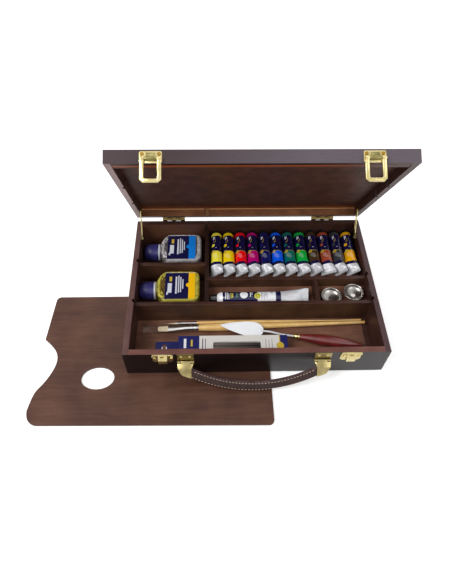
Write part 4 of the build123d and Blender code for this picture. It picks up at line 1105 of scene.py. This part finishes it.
def make_bottle(name, middle, border_tone, arc_tone, liquid, band, label_x):
    """One flask with its liquid, neck, label and cap, placed by its nodes' boxes."""
    low, high = (Vector(corner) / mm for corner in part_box(name))
    cap_low, cap_high = (Vector(corner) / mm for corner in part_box(f"{name}_cap"))
    centre = Vector((high.x - flask_long, (low.y + high.y) / 2, (low.z + high.z) / 2))
    flat = Matrix.Translation(centre)
    border = glass(f"{name}_border", border_tone, 0.3, arcs=(centre + Vector((flask_long / 2, 0, 0)), arc_tone))
    finish_piece(f"{name}_glass", flask(flat, 0.0, border=4.6), name, [middle, border], [name], smooth=60)
    finish_piece(f"{name}_liquid", flask(flat, 4.4), name, liquid, smooth=60)
    finish_piece(f"{name}_neck", threaded_neck(flat @ lay_right), name, border, smooth=60)
    start, split_x, stop = label_x
    paper = label_print(f"{name}_label_print", centre.y, band, start, split_x)
    finish_piece(f"{name}_label", label_sheet(start, stop, centre.y, high.z), name, paper)
    radius, out = (cap_high.y - cap_low.y) / 2, flat @ lay_right @ Matrix.Rotation(math.pi, 4, "Y")
    dome, ring = (ringed(out, round_rows([(along, radius * share) for along, share in rows]), sides=72)
                  for rows in (dome_rows, ring_rows))
    finish_piece(f"{name}_cap_dome", dome, f"{name}_cap", cap_blue, [f"{name}_cap"], smooth=50)
    finish_piece(f"{name}_cap_ring", ring, f"{name}_cap", ring_grey)
    print(name, [round(v, 1) for v in centre])


make_bottle("clear_bottle", clear_middle, shade(246, 242, 244), shade(64, 48, 44), clear_liquid,
            shade(14, 128, 226), (-146.0, -108.0, -96.0))
make_bottle("oil_bottle", oil_middle, shade(244, 232, 100), shade(104, 80, 16), oil_liquid,
            shade(252, 196, 14), (-146.0, -106.5, -95.5))

# %% [markdown]
# ## Leather grip
#
# The grip is a strip of leather folded round a core and sewn along its edges. It is a skin through
# rings along one large arc, padded in the middle, with a row of cream stitches near each edge. Each
# stitch is its own small bead of thread, half sunk in the leather.

# %% Path of the grip
handle_hinge, handle_hang = (-4.0, -140.0, 44.0), 52.2
handle_pivot = Matrix.Translation(handle_hinge) @ Matrix.Rotation(math.radians(handle_hang), 4, "X")
grip_sag, grip_half_span, grip_low, grip_tuck = 22.5, 94.5, 41.0, 9.5
grip_deep, grip_thick, grip_outer = 12.5, 10.0, 46.0
grip_arc = (grip_half_span ** 2 + grip_sag ** 2) / (2 * grip_sag)
grip_turn = math.asin((grip_half_span + grip_tuck) / grip_arc)


def along_grip(share, out=0.0, up=0.0):
    """A matrix on the middle of the grip's section, from its left end to its right one."""
    turn = Matrix.Rotation((2 * share - 1) * grip_turn, 4, "Z")
    centre = Matrix.Translation((0, -grip_low + grip_arc, 0))
    middle = grip_arc + (grip_outer - grip_low) - grip_deep / 2
    return handle_pivot @ centre @ turn @ Matrix.Translation((0, -middle - out, up))


print("the grip's arc has a radius of", round(grip_arc), "mm")

# %% Leather


def leather(name, dark, light):
    """Fine-grained leather, paler where it is rubbed along its edges."""
    material, tree, shader = new_material(name)
    place = object_place(tree)
    cells = node(tree, "ShaderNodeTexVoronoi", {"feature": "DISTANCE_TO_EDGE"}, Vector=place, Scale=1.1)
    pores = spread(tree, cells.outputs["Distance"], 0.0, 0.25)
    clouds = noise(tree, place, 0.12, 4.0)
    worn = use(tree, edge_wear, Width=1.2, Breakup=0.4)["Edge"]
    colour = mix(tree, spread(tree, clouds, 0.35, 0.65), dark, light)
    surface(tree, shader, Base_Color=mix(tree, times(tree, worn, 0.5), colour, shade(124, 100, 104)),
            Roughness=spread(tree, clouds, 0.3, 0.7, 0.42, 0.55), Normal=bump(tree, pores, 0.3, 0.12),
            Specular_IOR_Level=0.35)
    return material


grip_leather = leather("leather", shade(33, 16, 12), shade(50, 28, 22))
# Painted light: a lighter copy of the leather for the side that faces up.
grip_leather_painted_light = leather("leather_painted_light", shade(84, 60, 62), shade(112, 88, 90))
print("leather and", grip_leather_painted_light.name)

# %% Grip


def grip_bar(steps=60, sides=48):
    """The bar along its arc, a little fuller in the middle, with its inner side in a lighter leather as painted light.
    """
    bm = bmesh.new()
    ring = bmesh.ops.create_circle(bm, segments=sides, radius=1, cap_ends=False)["verts"]
    for index, vert in enumerate(ring):
        point = squared(2 * math.pi * index / sides, 4.2)
        vert.co = Vector((0, point.x * grip_deep / 2, point.y * (grip_thick / 2 - 0.3)))
    edges, last = list(bm.edges), Matrix.Identity(4)
    for step in range(steps + 1):
        full = 1 + 0.03 * math.sin(math.pi * step / steps)
        place = along_grip(step / steps) @ Matrix.Diagonal((1, 1, full, 1))
        if step:
            ring, edges = grown(bm, edges)
        bmesh.ops.transform(bm, matrix=place @ last.inverted(), verts=ring)
        last = place
    bmesh.ops.holes_fill(bm, edges=bm.edges, sides=0)
    # Painted light: the inner side, which faces up towards the case, takes the lighter leather.
    middle = handle_pivot @ Vector((0, grip_arc - grip_low, 0))
    level = (handle_pivot.to_3x3() @ up).normalized()
    for face in bm.faces:
        face.normal_update()
        inward = (middle - face.calc_center_median()).normalized()
        face.material_index = int(face.normal.dot(inward) > 0.5 > abs(face.normal.dot(level)))
    bmesh.ops.scale(bm, vec=(mm, mm, mm), verts=bm.verts)
    return bm


grip = finish_piece("handle_grip_leather", grip_bar(), "handle", [grip_leather, grip_leather_painted_light], ["handle_grip"], smooth=60)
print("grip of", len(grip.data.polygons), "faces")

# %% Stitches
stitch_count, stitch_size = 38, Matrix.Diagonal((1.7, 0.42, 0.5, 1))
stitch_start, stitch_span, stitch_sunk = 0.055, 0.89, 0.25
stitch_rows = (-grip_deep / 2 + 1.5, grip_deep / 2 - 1.2)
stitch_thread, tree, shader = new_material("stitch_thread")
twine = noise(tree, object_place(tree), 2.5, 2.0)
surface(tree, shader, Base_Color=mix(tree, twine, shade(190, 166, 146), shade(224, 206, 188)), Roughness=0.75)
stitches = bmesh.new()
for row in stitch_rows:
    for step in range(stitch_count):
        share = stitch_start + stitch_span * (step + 0.5) / stitch_count
        place = along_grip(share, out=row, up=grip_thick / 2 - stitch_sunk)
        made = bmesh.ops.create_icosphere(stitches, subdivisions=1, radius=1.0)["verts"]
        bmesh.ops.transform(stitches, matrix=Matrix.Scale(mm, 4) @ place @ stitch_size, verts=made)
finish_piece("handle_grip_stitches", stitches, "handle", stitch_thread)
print("stitches", len(stitch_rows) * stitch_count)

# %% [markdown]
# ## Brushes
#
# Each tuft is a bundle of single hairs, longest in the middle, pinched by its ferrule. Clear sleeves
# keep both tufts in shape.

# %% Tufts


def tuft(place, wide, thick, length, root, flat, count, seed):
    """Hairs from the ferrule's mouth to the tip, along +X of the place."""
    rng = random.Random(seed)
    short, pinch = (0.05, 0.1) if flat else (0.6, 0.75)
    bm = bmesh.new()
    for _ in range(count):
        angle, out = rng.uniform(0, 2 * math.pi), math.sqrt(rng.random())
        y, z = math.cos(angle) * out, math.sin(angle) * out
        tip = length * (short * out ** 2 + rng.uniform(0, 0.05))
        made = bmesh.ops.create_cone(bm, cap_ends=True, segments=5, radius1=0.2, radius2=0.07, depth=1.0)["verts"]
        for vert in made:
            share = vert.co.z + 0.5
            pull = 1.0 + 0.12 * math.sin(math.pi * share) - pinch * share ** 2
            vert.co = place @ Vector((root + (tip - root) * share, y * wide / 2 * pull + vert.co.x,
                                      z * thick / 2 * pull + vert.co.y)) * mm
    return bm


bristle, tree, shader = new_material("bristle")
strands = noise(tree, object_place(tree, turn=(0, 0, 1)), 1.4, 2.0)
surface(tree, shader, Base_Color=ramp(tree, strands, [(0.3, shade(206, 182, 142)), (0.6, shade(240, 226, 198))]),
        Roughness=0.55)


def lying(x, y, z, turn):
    """A place where a brush lies, turned a little about the vertical."""
    return Matrix.Translation((x, y, z)) @ Matrix.Rotation(math.radians(turn), 4, "Z")


round_place, flat_place = lying(-142.0, -50.1, 11.7, 0.5), lying(-156.4, -62.9, 14.8, 1.5)
round_hairs, flat_hairs = 240, 420
finish_piece("round_brush_hairs", tuft(round_place, 3.4, 3.4, 16, 16.5, False, round_hairs, 5), "round_brush", bristle,
             ["round_brush_bristles"])
finish_piece("flat_brush_hairs", tuft(flat_place, 10.2, 4.0, 17, 17.5, True, flat_hairs, 6), "flat_brush", bristle,
             ["flat_brush_bristles"])
print("hairs", round_hairs, "and", flat_hairs)

# %% Clear sleeves
clear_plastic, tree, shader = new_material("clear_plastic")
haze = noise(tree, object_place(tree), 0.3, 2.0)
surface(tree, shader, Base_Color=shade(250, 250, 250), Roughness=spread(tree, haze, 0.3, 0.7, 0.05, 0.12),
        Transmission_Weight=1.0, IOR=1.06, Coat_Weight=0.4, Coat_Roughness=0.05)
dress(clear_plastic, "flat_brush_sleeve")
sleeve = ringed(round_place @ lay_right, round_rows([(-7.5, 2.9), (28.0, 3.1)]), sides=32)
sleeve = finish_piece("round_brush_tube", sleeve, "round_brush", clear_plastic)
print("sleeve of", len(sleeve.data.polygons), "faces")

# %% [markdown]
# ## Palette knife
#
# The wooden handle and its brass collar are two materials on one solid, so the handle is copied and
# the faces of the collar, which lie nearest the blade, take the second one. The real handle swells
# more than the solid does, so the copy's middle is widened about the line between its two ends.

# %% Knife handle
collar_long, knife_swell = 9.0, 0.22
handle = merged_copy("knife_handle")
left_x, right_x = (corner[0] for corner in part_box("knife_handle"))
collar_end = left_x + collar_long * mm
for face in handle.faces:
    face.material_index = int(face.calc_center_median().x < collar_end)


def end_middle(end_x):
    """The middle of the handle's width at one of its ends."""
    near = [vert.co.y for vert in handle.verts if abs(vert.co.x - end_x) < 2 * mm]
    return (min(near) + max(near)) / 2


left_y, right_y = end_middle(left_x), end_middle(right_x)
for vert in handle.verts:
    if vert.co.x > collar_end:
        middle_y = left_y + (right_y - left_y) * (vert.co.x - left_x) / (right_x - left_x)
        share = math.sin(math.pi * (vert.co.x - collar_end) / (right_x - collar_end))
        vert.co.y = middle_y + (vert.co.y - middle_y) * (1 + knife_swell * max(0.0, share))
finish_piece("knife_handle_dressed", handle, "palette_knife", [red_wood, brass], ["knife_handle"], smooth=60)
print("knife handle", round((right_x - left_x) / mm, 1), "mm")

# %% [markdown]
# ## Charcoal carton
#
# A folded card box with a window, printed in bands. The three sticks in it are black and lie behind
# the window, so the finish tells them from the card by where they are. A painted sheen lightens them
# towards the window's left.

# %% Carton print
pale_card, deep_blue, faint_ink = shade(222, 218, 212), shade(26, 30, 92), shade(150, 146, 150)
card_bands = ((-200, deep_blue), (-88, pale_card), (38.5, gold), (40.5, deep_blue))
card_marks = [("box", white_ink, (-112, -107), (-108, -90)), ("box", gold, (-101, -104), (-98, -92)),
              ("box", deep_blue, (-83, -112), (-81.6, -90)), ("box", deep_blue, (-78.5, -108), (-77.4, -90)),
              ("box", faint_ink, (17, -110), (18, -92)), ("box", faint_ink, (22, -110), (23, -94)),
              ("box", faint_ink, (27, -110), (28, -92)), ("disc", gold, (40.0, -104.0, 0), 6.0),
              ("disc", white_ink, (-144.6, -95.7, 0), 4.4)]
window_low, window_high, window_top, sticks_low = (-65.2, -113.9), (9.2, -96.5), 27.6, 21.5
card, tree, shader = new_material("printed_card")
place = object_place(tree)
parts = split(tree, place)
x, y, z = parts["X"], parts["Y"], parts["Z"]
flat = node(tree, "ShaderNodeCombineXYZ", X=x, Y=y).outputs["Vector"]
colour = ramp(tree, spread(tree, x, -200, 200), [((edge + 200) / 400, tone) for edge, tone in card_bands], smooth=False)
colour = printed(tree, colour, x, y, flat, card_marks)
inside = times(tree, box_mask(tree, x, y, window_low, window_high), sums(tree, "LESS_THAN", z, window_top))
sticks = times(tree, inside, sums(tree, "GREATER_THAN", z, sticks_low))
# Painted sheen: the sticks are pale grey at the window's left and fade to black at its right.
charcoal = mix(tree, spread(tree, x, -62, 6), shade(98, 88, 82), shade(30, 28, 28))
colour = mix(tree, sticks, mix(tree, inside, colour, shade(122, 108, 98)), charcoal)
surface(tree, shader, Base_Color=colour, Roughness=plus(tree, 0.35, times(tree, sticks, 0.45)),
        Normal=bump(tree, noise(tree, place, 0.9, 4.0), 0.15, 0.1))
bevelled("charcoal_carton", 0.25, card)
print("window", round(window_high[0] - window_low[0], 1), "mm long")
